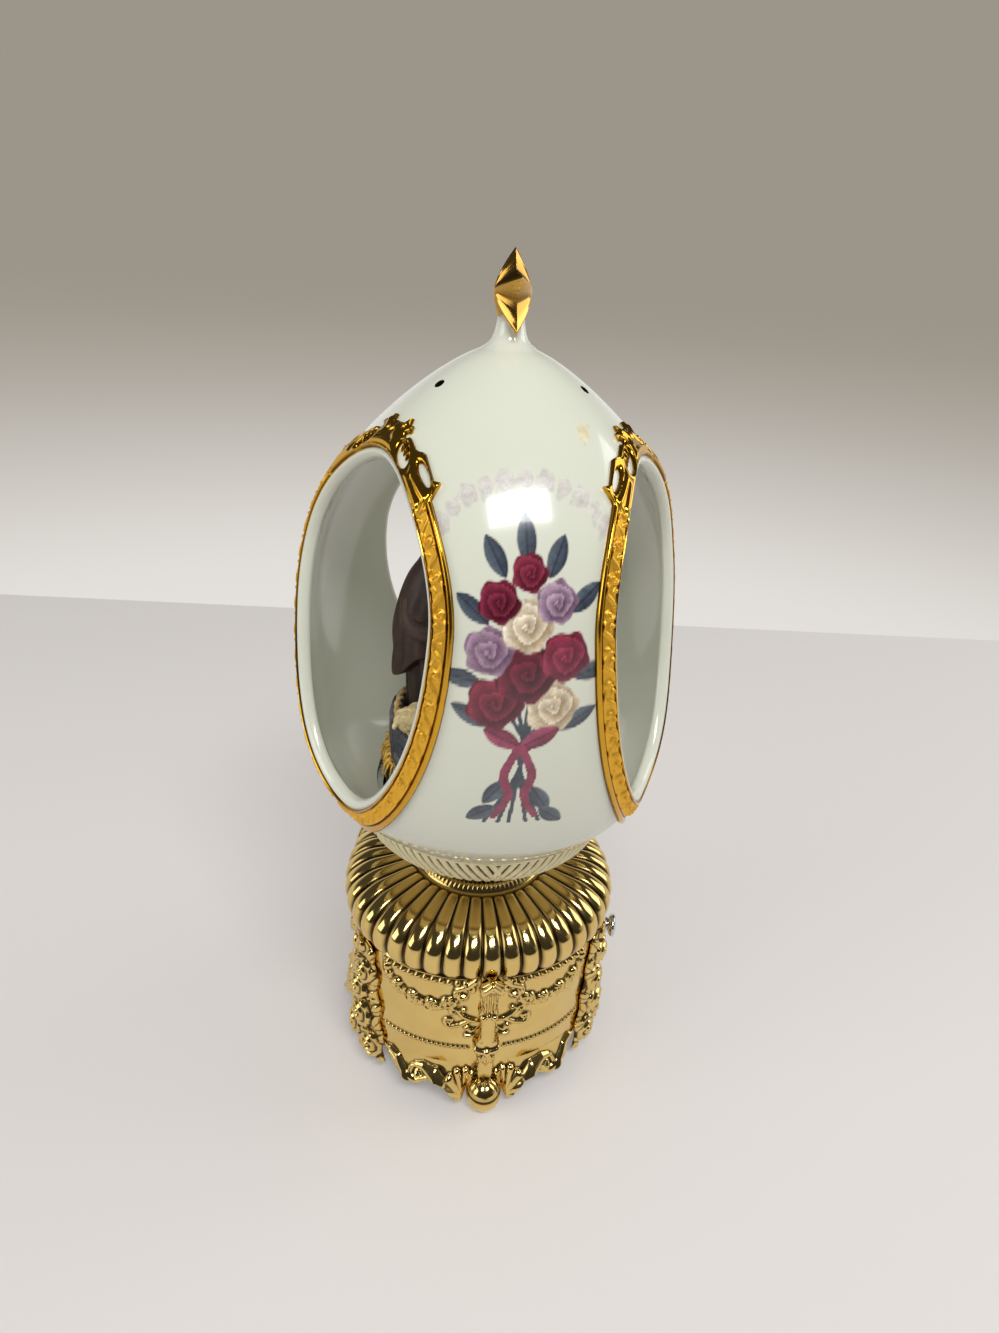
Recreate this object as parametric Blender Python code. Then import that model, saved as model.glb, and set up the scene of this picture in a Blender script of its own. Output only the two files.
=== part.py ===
"""Egg music box: a porcelain egg with three windows on a gilt base that holds an 18-note movement.

Units are metres and +Z is up. The origin is on the floor, in the middle of the object's length and
width. Three sides make the object deeper in front of its turning axis than behind it, so the axis
stands a little behind the origin. Each piece is placed from that axis, and the empty named egg_axis
carries them all. Azimuth 0 is the front, towards -Y, and azimuths grow towards +X.
"""

import math

import bmesh
import bpy
from mathutils import Matrix, Vector

MM = 0.001

# Fits shared by all pieces
GAP = 0.3 * MM
SHAFT_GAP = 0.3 * MM
SCREW_GAP = 0.3 * MM

# Layout: three corners with feet, three side middles with bouquets and windows
AXIS_SETBACK = 1.8 * MM
CORNERS = (0, 120, 240)
MIDDLES = (60, 180, 300)

# Base body
WALL_RADIUS = 35.0 * MM
WALL_THICKNESS = 1.6 * MM
PLAN_FLATNESS = 0.03
WALL_TOP = 44.6 * MM
SKIRT_TOP = 13.6 * MM
SKIRT_FLARE = 2.8 * MM
SHOULDER_OVERHANG = 2.2 * MM
SHOULDER_Z = 50.0 * MM
DISH_RADIUS = 20.0 * MM
DISH_Z = 57.3 * MM
BASE_TOP = 58.6 * MM
TOP_THICKNESS = 2.7 * MM
FLUTES = 45
FLUTE_DEPTH = 0.5 * MM
# Height of the skirt's lower edge, from a corner (0 degrees) to a side middle (60 degrees)
SKIRT_EDGE = ((0, 10.5), (8, 10.5), (12, 7.2), (20, 10.6), (32, 8.0), (43, 7.2), (47, 9.5), (60, 9.5))
CORNER_NOTCH = 8
MIDDLE_NOTCH = 16

# Screw bosses under the drum and the bottom plate that closes it
PLATE_BOTTOM = 12.5 * MM
PLATE_THICKNESS = 1.5 * MM
BOSS_RADIUS = 3.2 * MM
BOSS_INSET = 2.8 * MM
BOSS_HEIGHT = 10.0 * MM
COVER_SCREW_RADIUS = 1.1 * MM
COVER_SCREW_LENGTH = 8.0 * MM
SCREW_HEAD_RADIUS = 2.4 * MM
SCREW_HEAD_HEIGHT = 1.2 * MM

# Corner pilaster with its ball foot
BALL_RADIUS = 4.85 * MM
FOOT_FLAT_RADIUS = 1.5 * MM
PILASTER_DEPTH = 2.7 * MM
PILASTER_TOP = 48.5 * MM
# Height and half width of the pilaster from its foot to its gable
PILASTER_WIDTHS = (
    (11.0, 2.1), (18.0, 2.4), (21.8, 3.7), (25.5, 2.1), (33.5, 2.1), (35.0, 3.0), (36.6, 3.0), (38.0, 2.0),
    (43.0, 2.4),
)

# Rose bouquets on the side middles: offset along the wall, height and radius of each bloom
BOUQUET_BOTTOM = 3.0 * MM
BOUQUET_TOP = 43.5 * MM
BOUQUET_BACKING = 1.2 * MM
BOUQUET_RELIEF = 3.2 * MM
BOUQUET_LOW_WIDTH = 9.6 * MM
BOUQUET_HIGH_WIDTH = 5.4 * MM
BLOOMS = ((-4.2, 9.5, 4.6), (4.2, 9.0, 4.6), (0.0, 17.5, 5.0), (-1.5, 26.0, 4.4), (1.5, 34.0, 4.0))

# Laurel cup that carries the egg
CUP_FOOT_RADIUS = 16.0 * MM
CUP_NECK_RADIUS = 15.2 * MM
CUP_FLOOR = 3.1 * MM
CUP_HEIGHT = 21.7 * MM
CUP_LIP = 0.6 * MM
LAUREL_HEIGHT = 5.9 * MM
CUP_SEAT_DEPTH = 1.9 * MM
CUP_BORE_INSET = 0.4 * MM
# Radius over the neck's and height over the bottom, outside and inside
CUP_OUTSIDE = ((7.0, 9.6), (1.4, 4.6), (0.0, 2.2))
CUP_INSIDE = ((-4.0, 0.0), (5.0, 8.6))

# Egg shell
EGG_RADIUS = 48.0 * MM
EGG_HALF_HEIGHT = 59.8 * MM
EGG_SHAPE = (-0.097, 0.092, -0.383)
# Share of the half height from the egg's centre down to its foot ring
EGG_FOOT_SHARE = 0.8997
EGG_WALL = 3.0 * MM
EGG_FOOT_WIDTH = 3.0 * MM
EGG_SIDES = 40
STEM_RADIUS = 3.1 * MM
STEM_HEIGHT = 5.6 * MM
STEM_FILLET = 0.7 * MM
STEM_FLARE = 4.9 * MM
VENT_RADIUS = 1.15 * MM
# Share of the half height from the egg's centre up to its vents
VENT_SHARE = 0.866

# Window openings, egg shaped, measured from the egg's centre
WINDOW_HALF_ANGLE = 37.2
WINDOW_LEVEL = 10.2 * MM
WINDOW_UP = 28.7 * MM
WINDOW_DOWN = 51.0 * MM

# Gold trim round each window
TRIM_SIDE_ANGLE = 6.2
TRIM_RISE = 5.0 * MM
TRIM_DROP = 7.6 * MM
TRIM_INSET = 0.5 * MM
TRIM_STANDOFF = 0.6 * MM
TRIM_THICKNESS = 0.9 * MM
CREST_HALF_ANGLE = 30.0
CREST_SWELL = 0.8 * MM

# Star finial: five rays, of which the two lower ones are longer
STAR_RAY = 9.2 * MM
STAR_LOW_RAY = 11.2 * MM
STAR_NOTCH = 4.3 * MM
STAR_HALF_THICKNESS = 4.3 * MM
STAR_AZIMUTH = -85

# Shaft, bushing and turntable
SHAFT_RADIUS = 2.0 * MM
BUSHING_WALL = 1.7 * MM
BUSHING_FLANGE_RADIUS = 6.5 * MM
BUSHING_FLANGE = 1.3 * MM
BUSHING_TAIL = 3.6 * MM
NUT_WIDTH = 6.4 * MM
NUT_HEIGHT = 2.2 * MM
CLIP_RADIUS = 4.0 * MM
CLIP_THICKNESS = 0.8 * MM
CLIP_GROOVE_DEPTH = 0.6 * MM
TURNTABLE_RADIUS = 26.4 * MM
TURNTABLE_THICKNESS = 2.0 * MM
TURNTABLE_LIFT = 2.2 * MM
TURNTABLE_HUB_RADIUS = 5.0 * MM
TURNTABLE_HUB_HEIGHT = 4.7 * MM

# Movement bedplate
BED_THICKNESS = 2.5 * MM
BED_CORNERS = (
    (-27, 8), (-22, 20), (-14, 24), (20, 24), (23.5, 20),
    (23.5, -19), (18, -23.5), (-14, -22), (-22, -16), (-27, -8),
)
MOVEMENT_SCREWS = ((-18, 14), (-18, -14), (8, 21.5))
MOVEMENT_SCREW_RADIUS = 1.3 * MM

# Winding: the arbor's axis is the barrel's axis
BARREL_X = -14.0 * MM
ARBOR_RADIUS = 2.0 * MM
RATCHET_TEETH = 12
RATCHET_RADIUS = 5.2 * MM
RATCHET_TOOTH = 0.8 * MM
RATCHET_THICKNESS = 1.0 * MM
CLICK_PIVOT = (-5.5, 7.2)
CLICK_PIN_RADIUS = 0.6 * MM
CLICK_OUTLINE = (
    (-6.7, 7.9), (-6.7, 6.5), (-5.7, 5.8), (0.8, 6.3), (1.65, 5.3),
    (2.1, 5.15), (2.9, 6.4), (2.6, 7.4), (-5.4, 8.6),
)
KEY_SPAN = 24.0 * MM
KEY_WING_HEIGHT = 7.0 * MM
KEY_WING_THICKNESS = 1.6 * MM
KEY_HUB_RADIUS = 3.2 * MM
KEY_WAIST = 1.5 * MM
KEY_SHOULDER = 3.0 * MM
KEY_CORNER = 2.0 * MM
KEY_FLOOR_GAP = 1.2 * MM

# Spring barrel with its crown wheel
BARREL_RADIUS = 9.6 * MM
BARREL_WALL = 0.8 * MM
BARREL_HEIGHT = 10.0 * MM
CROWN_TEETH = 30
CROWN_INNER = 10.4 * MM
CROWN_OUTER = 12.6 * MM
CROWN_LEVEL = 1.5 * MM
CROWN_WEB = 1.0 * MM
CROWN_TOOTH_HEIGHT = 1.3 * MM
CROWN_TOOTH_WIDTH = 0.85 * MM
SPRING_TURNS = 4
SPRING_THICKNESS = 0.35 * MM
POST_RADIUS = 2.0 * MM

# Gear pair between barrel and figure shaft
TURN_TEETH = 20
TURN_TIP = 0.5 * MM
TURN_ROOT = 0.7 * MM
TURN_WIDTH = 1.6 * MM
TURN_GEAR_LIFT = 8.2 * MM

# Music cylinder on its horizontal arbor
PINION_TEETH = 12
PINION_TIP = 0.5 * MM
PINION_ROOT = 0.7 * MM
PINION_WIDTH = 2.2 * MM
CYLINDER_RADIUS = 6.0 * MM
CYLINDER_START = 1.0 * MM
CYLINDER_LENGTH = 18.2 * MM
CYLINDER_PIN = 0.5 * MM
PIN_INSET = 0.42 * MM
CYLINDER_ARBOR_RADIUS = 1.25 * MM
BRACKET_THICKNESS = 1.4 * MM
BRACKET_HALF_WIDTH = 3.5 * MM
BRACKET_OVER_AXIS = 3.1 * MM
WHEEL_MODULE = 0.47 * MM
WHEEL_TEETH = 36
WHEEL_WIDTH = 1.4 * MM

# Comb
COMB_TEETH = 18
COMB_THICKNESS = 0.9 * MM
COMB_TOOTH_LENGTH = 9.3 * MM
COMB_TIP_GAP = 0.2 * MM
COMB_HEEL = 6.0 * MM
COMB_SLOT_SHARE = 0.4
COMB_SCREW_RADIUS = 1.0 * MM
COMB_HEAD_RADIUS = 1.9 * MM
COMB_HEAD_HEIGHT = 1.5 * MM
COMB_SCREW_PLACES = (0.2, 0.8)

# Governor: an arbor with pinion and worm wheel, and an upright worm with the fly
GOVERNOR_PINION_TEETH = 11
GOVERNOR_ARBOR_RADIUS = 0.9 * MM
WORM_WHEEL_TEETH = 14
WORM_WHEEL_RADIUS = 3.5 * MM
WORM_WHEEL_TOOTH = 0.5 * MM
WORM_X = 15.0 * MM
WORM_RADIUS = 1.75 * MM
WORM_CORE = 1.05 * MM
WORM_STARTS = 2
WORM_LENGTH = 6.0 * MM
WORM_MESH_GAP = 0.05 * MM
WORM_SHAFT_RADIUS = 0.8 * MM
FLY_SPAN = 11.0 * MM
FLY_HEIGHT = 4.5 * MM
FLY_THICKNESS = 0.5 * MM
FLY_HUB_RADIUS = 1.6 * MM
FRAME_THICKNESS = 1.3 * MM
FRAME_POST = 1.6 * MM
FRAME_ARM_LEFT = 13.1 * MM
FRAME_SIDES = (-9.0, -18.5)

# Start and stop knob on the drum wall
KNOB_AZIMUTH = 74
KNOB_Z = 35.5 * MM
KNOB_RADIUS = 3.2 * MM
KNOB_LENGTH = 3.4 * MM
# Shares of the knob's radius and length, from its crown to its collar
KNOB_PROFILE = ((0, 1), (0.45, 0.97), (0.8, 0.85), (1, 0.65), (1, 0.48), (0.55, 0.3), (0.55, 0))
KNOB_BORE_SHARE = 0.6
ROD_RADIUS = 0.8 * MM
ROD_TIP_ANGLE = 43
ROD_TIP_Z = 33.5 * MM
STOP_TRAVEL = 1.5 * MM

# Figure group on the turntable
GROUND_RADIUS = 26.0 * MM
GROUND_HEIGHT = 8.0 * MM
STONE_WALL_HEIGHT = 19.5 * MM
STONE_WALL_THICKNESS = 4.2 * MM
STONE_WALL_INSET = 1.4 * MM
STONE_WALL_SPAN = (-138, -54)
SHEPHERD_PLACE = (-9.6, 3.5)
SHEPHERD_LEAN = 4.0 * MM
# Height above the ground, half width and half depth of the robe
ROBE = (
    (0.4, 10.6, 9.4), (8, 10.2, 9.0), (18, 10.0, 8.6), (28, 10.6, 8.6), (36, 10.4, 8.0),
    (43, 9.0, 7.0), (47.5, 7.0, 5.6), (50, 4.6, 4.4), (53, 5.4, 5.6), (57, 5.6, 5.9), (61, 4.0, 4.4),
)
HOOD_TOP = 63.0 * MM
LAMB_LENGTH = 11.0 * MM
# Share of the lamb's half length, lift and radius from its chest to its muzzle
LAMB_NECK = ((0.25, 1.0, 2.2), (0.62, 4.2, 1.9), (0.80, 6.0, 1.9), (1.10, 5.6, 1.5), (1.42, 4.7, 0.9))
STAFF_RADIUS = 0.8 * MM
STAFF_HEIGHT = 62.0 * MM

# Levels worked out from the sizes above
plate_top = PLATE_BOTTOM + PLATE_THICKNESS
bed_bottom = plate_top + GAP
bed_top = bed_bottom + BED_THICKNESS
deck = bed_top + GAP
barrel_bottom = deck + RATCHET_THICKNESS + GAP
barrel_top = barrel_bottom + BARREL_HEIGHT
crown_web_bottom = barrel_bottom + CROWN_LEVEL
crown_root = crown_web_bottom + CROWN_WEB
crown_tip = crown_root + CROWN_TOOTH_HEIGHT
crown_pitch_radius = (CROWN_INNER + CROWN_OUTER) / 2
pinion_pitch_radius = crown_pitch_radius * PINION_TEETH / CROWN_TEETH
cylinder_axis_z = crown_tip + GAP + pinion_pitch_radius - PINION_ROOT
turn_radius = -BARREL_X / 2
turn_gear_bottom = cylinder_axis_z + TURN_GEAR_LIFT
wheel_radius = WHEEL_MODULE * WHEEL_TEETH / 2
governor_pinion_radius = WHEEL_MODULE * GOVERNOR_PINION_TEETH / 2
governor_y = -(wheel_radius + governor_pinion_radius)
worm_distance = WORM_WHEEL_RADIUS + WORM_WHEEL_TOOTH + WORM_CORE + GAP / 2 + WORM_MESH_GAP
worm_y = governor_y - worm_distance
pinion_end = BARREL_X + crown_pitch_radius + PINION_WIDTH / 2
left_bracket_x = CYLINDER_START - GAP - BRACKET_THICKNESS
wheel_x = CYLINDER_START + CYLINDER_LENGTH + 2 * GAP
right_bracket_x = wheel_x + WHEEL_WIDTH + GAP
fly_bottom = cylinder_axis_z + WORM_WHEEL_RADIUS + WORM_WHEEL_TOOTH + 3 * GAP
frame_top = fly_bottom + FLY_HEIGHT + 5 * GAP
comb_front = CYLINDER_RADIUS + CYLINDER_PIN + COMB_TIP_GAP
cup_bottom = BASE_TOP + GAP
cup_top = cup_bottom + CUP_HEIGHT
seat_z = cup_top - CUP_SEAT_DEPTH
egg_foot = seat_z + GAP
foot_depth = EGG_FOOT_SHARE * EGG_HALF_HEIGHT
vent_level = VENT_SHARE * EGG_HALF_HEIGHT
egg_centre = egg_foot + foot_depth
egg_apex = egg_centre + EGG_HALF_HEIGHT
stem_top = egg_apex + STEM_HEIGHT
turntable_bottom = seat_z + TURNTABLE_LIFT + GAP
ground_bottom = turntable_bottom + TURNTABLE_THICKNESS + GAP
ground_top = ground_bottom + GROUND_HEIGHT
bushing_bore = SHAFT_RADIUS + SHAFT_GAP
bushing_radius = bushing_bore + BUSHING_WALL
bushing_hole = bushing_radius + GAP
top_underside = BASE_TOP - TOP_THICKNESS
bushing_bottom = top_underside - GAP - BUSHING_FLANGE - BUSHING_TAIL / 2
cup_floor_top = cup_bottom + CUP_FLOOR


def material(name, colour, roughness, metallic=0.0):
    """Principled material with one colour, roughness and metallic value."""
    made = bpy.data.materials.new(name)
    made.use_nodes = True
    shader = made.node_tree.nodes["Principled BSDF"]
    shader.inputs["Base Color"].default_value = (*colour, 1.0)
    shader.inputs["Roughness"].default_value = roughness
    shader.inputs["Metallic"].default_value = metallic
    made.diffuse_color = (*colour, 1.0)
    return made


def start_scene():
    """Remove what the new file holds."""
    for old in list(bpy.data.objects):
        bpy.data.objects.remove(old)


def finish(name, bm, made_of, sharp=35):
    """Turn a bmesh into a smooth shaded object with its normals outwards."""
    bmesh.ops.recalc_face_normals(bm, faces=bm.faces[:])
    mesh = bpy.data.meshes.new(name)
    bm.to_mesh(mesh)
    bm.free()
    mesh.shade_smooth()
    mesh.set_sharp_from_angle(angle=math.radians(sharp))
    mesh.materials.append(made_of)
    piece = bpy.data.objects.new(name, mesh)
    bpy.context.scene.collection.objects.link(piece)
    return piece


def polar(azimuth, radius, z):
    """Point at an azimuth, a radius and a height."""
    angle = math.radians(azimuth)
    return Vector((radius * math.sin(angle), -radius * math.cos(angle), z))


def circle(radius, count, centre=(0.0, 0.0), phase=0.0):
    """Points of a circle in the plan, anticlockwise."""
    angles = [math.tau * step / count + phase for step in range(count)]
    return [(centre[0] + radius * math.cos(a), centre[1] + radius * math.sin(a)) for a in angles]


def skin(bm, rings, joined=False):
    """Faces between rings of points. A ring of one point is a pole, and a ring may have half the points."""
    made = [[bm.verts.new(point) for point in ring] for ring in rings]
    pairs = list(zip(made, made[1:]))
    if joined:
        pairs.append((made[-1], made[0]))
    for first, second in pairs:
        count = max(len(first), len(second))
        for step in range(count):
            after = (step + 1) % count
            corners = [
                first[step * len(first) // count],
                first[after * len(first) // count],
                second[after * len(second) // count],
                second[step * len(second) // count],
            ]
            bm.faces.new(list(dict.fromkeys(corners)))
    return made


def turned(name, profile, segments, made_of, phase=0.0, sharp=35):
    """Solid of revolution about Z. A profile without poles is a closed loop."""
    rings = []
    for radius, z in profile:
        if radius <= 0:
            rings.append([(0.0, 0.0, z)])
        else:
            rings.append([(x, y, z) for x, y in circle(radius, segments, phase=phase)])
    bm = bmesh.new()
    skin(bm, rings, joined=len(rings[0]) > 1)
    return finish(name, bm, made_of, sharp)


def lofted(name, rings, made_of, sharp=35):
    """Solid through rings of equal length, closed by flat ends."""
    bm = bmesh.new()
    made = skin(bm, rings)
    bm.faces.new(made[0])
    bm.faces.new(made[-1])
    return finish(name, bm, made_of, sharp)


def plate(name, outline, holes, bottom, top, made_of, sharp=35):
    """Flat plate with holes, between two heights."""
    bm = bmesh.new()
    loops = []
    edges = []
    for loop in (outline, *holes):
        low = [bm.verts.new((x, y, bottom)) for x, y in loop]
        edges += [bm.edges.new((low[i - 1], low[i])) for i in range(len(low))]
        loops.append(low)
    bmesh.ops.triangle_fill(bm, use_beauty=True, use_dissolve=False, edges=edges)
    under = bm.faces[:]
    above = {v: bm.verts.new((v.co.x, v.co.y, top)) for loop in loops for v in loop}
    for face in under:
        bm.faces.new([above[v] for v in reversed(face.verts)])
    for loop in loops:
        for i in range(len(loop)):
            bm.faces.new([loop[i - 1], loop[i], above[loop[i]], above[loop[i - 1]]])
    return finish(name, bm, made_of, sharp)


def rod(name, path, radius, sides, made_of):
    """Round rod along a few points."""
    points = [Vector(p) for p in path]
    rings = []
    for i, point in enumerate(points):
        along = points[min(i + 1, len(points) - 1)] - points[max(i - 1, 0)]
        turn = along.to_track_quat("Z", "Y")
        rings.append([point + turn @ Vector((x, y, 0)) for x, y in circle(radius, sides)])
    return lofted(name, rings, made_of)


def boolean(piece, tool, operation="DIFFERENCE"):
    """Cut a piece with a tool, or join the tool to it. The tool is hidden."""
    tool.hide_render = True
    tool.display_type = "WIRE"
    step = piece.modifiers.new(tool.name, "BOOLEAN")
    step.operation = operation
    step.solver = "EXACT"
    step.object = tool


def several(name, tools, made_of):
    """Several tool objects that don't touch, joined into one."""
    bm = bmesh.new()
    for tool in tools:
        mesh = tool.data.copy()
        mesh.transform(tool.matrix_basis)
        bm.from_mesh(mesh)
        bpy.data.objects.remove(tool)
    return finish(name, bm, made_of)


def drill(name, radius, bottom, top, centre, made_of, sides=12):
    """Upright cylinder that drills a hole or adds a boss."""
    tool = turned(name, [(0, top), (radius, top), (radius, bottom), (0, bottom)], sides, made_of)
    tool.location = (*centre, 0.0)
    return tool


def stand_on(piece, axis_x, axis_y=0.0, axis_z=0.0, along="Z", turn=0.0):
    """Put a piece that was made about Z on its axis, upright or lying along X."""
    piece.location = (axis_x, axis_y, axis_z)
    piece.rotation_euler = (0.0, math.pi / 2, 0.0) if along == "X" else (0.0, 0.0, turn)
    return piece


def gear_outline(teeth, tip, root, phase=0.0):
    """Outline of a spur gear with straight sided teeth. A tooth points at the phase angle."""
    pitch = math.tau / teeth
    points = []
    for i in range(teeth):
        centre = pitch * i + phase
        for radius, share in ((root, -0.25), (tip, -0.12), (tip, 0.12), (root, 0.25)):
            angle = centre + pitch * share
            points.append((radius * math.cos(angle), radius * math.sin(angle)))
    return points


def egg_radius(above_centre):
    """Outer radius of the egg at a height above its centre."""
    u = max(-1.0, min(1.0, above_centre / EGG_HALF_HEIGHT))
    a, b, c = EGG_SHAPE
    return EGG_RADIUS * math.sqrt(1 - u * u) * (1 + a * u + b * u**2 + c * u**3)


def egg_normal(above_centre):
    """Outward normal of the egg as its radial and upward parts."""
    step = 0.2 * MM
    slope = (egg_radius(above_centre + step) - egg_radius(above_centre - step)) / (2 * step)
    length = math.hypot(1, slope)
    return 1 / length, -slope / length


def egg_heights(low, high, count):
    """Heights above the centre that follow the curve closely towards the top."""
    steps = [i / (count - 1) for i in range(count)]
    start = math.asin(low / EGG_HALF_HEIGHT)
    end = math.asin(high / EGG_HALF_HEIGHT)
    return [EGG_HALF_HEIGHT * math.sin(start + (end - start) * s) for s in steps]


def window_loop(half_angle, up, down, count):
    """Azimuth offset in degrees and height of each point round an egg shaped opening."""
    points = []
    for i in range(count):
        t = math.tau * i / count
        rise = up if math.sin(t) >= 0 else down
        points.append((half_angle * math.cos(t), egg_centre + WINDOW_LEVEL + rise * math.sin(t)))
    return points


def fold(azimuth):
    """Azimuth folded to 0 at a corner and 60 at a side middle."""
    return 60 - abs(60 - azimuth % 120)


def between(table, value):
    """Value read from a table of pairs, with straight lines between them."""
    for (x0, y0), (x1, y1) in zip(table, table[1:]):
        if value <= x1:
            return y0 + (y1 - y0) * (value - x0) / (x1 - x0)
    return table[-1][1]


def flare_share(azimuth):
    """Share of the skirt's flare: none behind the pilasters and the bouquets."""
    place = fold(azimuth)
    rise = min(place - CORNER_NOTCH, 60 - MIDDLE_NOTCH - place) / 4
    return max(0.0, min(1.0, rise))


def wall_radius(azimuth):
    """Outer radius of the drum wall, slightly flat at the corners."""
    return WALL_RADIUS * (1 - PLAN_FLATNESS * math.cos(math.radians(3 * azimuth)))


def base_ring(offset, z, flat=1.0, flute=None, skirt=None):
    """One ring of the base: offset from the wall's radius, height, and how much it follows the plan.

    Flute gives the inward and downward steps of the grooves between flutes.
    Skirt gives the share of the flare and of the height from the skirt's edge to its top.
    """
    ring = []
    count = 2 * FLUTES if flute or skirt else FLUTES
    for step in range(count):
        azimuth = 360 * step / count
        round_wall = WALL_RADIUS + (wall_radius(azimuth) - WALL_RADIUS) * flat
        radius = round_wall + offset
        height = z
        if flute and step % 2:
            radius -= flute[0]
            height -= flute[1]
        if skirt:
            edge = between(SKIRT_EDGE, fold(azimuth)) * MM
            radius += SKIRT_FLARE * skirt[0] * flare_share(azimuth)
            height = edge + (SKIRT_TOP - edge) * skirt[1]
        ring.append(polar(azimuth, radius, height))
    return ring


def make_base(gilt, tool_stuff):
    """Gilt casting: gadrooned top, drum wall and scalloped skirt, hollow below."""
    top = DISH_RADIUS - WALL_RADIUS
    hole = bushing_hole - WALL_RADIUS
    inside = -WALL_THICKNESS
    over = SHOULDER_OVERHANG
    depth = FLUTE_DEPTH
    rings = [
        base_ring(hole, BASE_TOP, 0),
        base_ring(top - 2.0 * MM, BASE_TOP, 0),
        base_ring(top - 1.6 * MM, DISH_Z, 0, (0, depth)),
        base_ring(over - 4.2 * MM, DISH_Z - 1.2 * MM, 0.7, (0, depth)),
        base_ring(over - 1.0 * MM, SHOULDER_Z + 3.2 * MM, 1, (0.7 * depth, 0.7 * depth)),
        base_ring(over, SHOULDER_Z, 1, (depth, 0)),
        base_ring(over - 0.5 * MM, WALL_TOP + 1.4 * MM, 1, (depth, 0)),
        base_ring(0, WALL_TOP),
        base_ring(0, SKIRT_TOP, 1, skirt=(0.0, 1.0)),
        base_ring(0, SKIRT_TOP, 1, skirt=(0.9, 0.5)),
        base_ring(0, SKIRT_TOP, 1, skirt=(1.0, 0.0)),
        base_ring(inside, SKIRT_TOP, 1, skirt=(0.7, 0.05)),
        base_ring(inside, SKIRT_TOP, 1, skirt=(0.0, 0.8)),
        base_ring(inside, WALL_TOP - 1.6 * MM),
        base_ring(over - 2.6 * MM - depth, top_underside - 4.0 * MM),
        base_ring(over - 6.0 * MM, top_underside - 1.0 * MM, 0.7),
        base_ring(hole, top_underside, 0),
    ]
    bm = bmesh.new()
    skin(bm, rings, joined=True)
    base = finish("base_body", bm, gilt, 30)
    places = [polar(a, boss_radius(), 0).xy for a in MIDDLES]
    low = plate_top + GAP
    bosses = [drill("boss", BOSS_RADIUS, low, low + BOSS_HEIGHT, p, tool_stuff) for p in places]
    boolean(base, several("boss_tool", bosses, tool_stuff), "UNION")
    hole_radius = COVER_SCREW_RADIUS + SCREW_GAP
    deep = PLATE_BOTTOM + COVER_SCREW_LENGTH + GAP
    holes = [drill("hole", hole_radius, low - 1 * MM, deep, p, tool_stuff, 8) for p in places]
    boolean(base, several("boss_hole_tool", holes, tool_stuff))
    inner = polar(KNOB_AZIMUTH, WALL_RADIUS - 5 * MM, KNOB_Z)
    outer = polar(KNOB_AZIMUTH, WALL_RADIUS + 5 * MM, KNOB_Z)
    boolean(base, rod("rod_hole_tool", (inner, outer), ROD_RADIUS + SHAFT_GAP, 8, tool_stuff))
    return base


def boss_radius():
    """Distance of the screw bosses from the centre."""
    return wall_radius(MIDDLES[0]) - WALL_THICKNESS - BOSS_INSET


def make_bottom_plate(steel):
    """Steel plate that closes the drum and carries the movement."""
    outline = [polar(8 * i, wall_radius(8 * i) - WALL_THICKNESS - GAP, 0).xy for i in range(45)]
    holes = [circle(ARBOR_RADIUS + 2 * SHAFT_GAP, 12, (BARREL_X, 0))]
    for x, y in MOVEMENT_SCREWS:
        holes.append(circle(MOVEMENT_SCREW_RADIUS + SCREW_GAP, 8, (x * MM, y * MM)))
    for azimuth in MIDDLES:
        centre = polar(azimuth, boss_radius(), 0).xy
        holes.append(circle(COVER_SCREW_RADIUS + SCREW_GAP, 8, centre))
    return plate("bottom_plate", outline, holes, PLATE_BOTTOM, plate_top, steel)


def make_screw(name, centre, radius, length, made_of):
    """Screw driven upwards, its head under the surface at the given height."""
    x, y, under = centre
    head = SCREW_HEAD_HEIGHT
    profile = [
        (0, length), (radius, length), (radius, -GAP), (SCREW_HEAD_RADIUS, -GAP),
        (SCREW_HEAD_RADIUS, 0.4 * MM - head), (SCREW_HEAD_RADIUS - 0.5 * MM, -head), (0, -head),
    ]
    screw = turned(name, profile, 8, made_of)
    screw.location = (x, y, under)
    return screw


def make_screws(steel):
    """Cover screws into the bosses, and movement screws into the bedplate."""
    for number, azimuth in enumerate(MIDDLES, 1):
        centre = polar(azimuth, boss_radius(), PLATE_BOTTOM)
        make_screw(f"cover_screw_{number}", centre, COVER_SCREW_RADIUS, COVER_SCREW_LENGTH, steel)
    length = bed_top - PLATE_BOTTOM - GAP
    for number, (x, y) in enumerate(MOVEMENT_SCREWS, 1):
        centre = (x * MM, y * MM, PLATE_BOTTOM)
        make_screw(f"movement_screw_{number}", centre, MOVEMENT_SCREW_RADIUS, length, steel)


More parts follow.
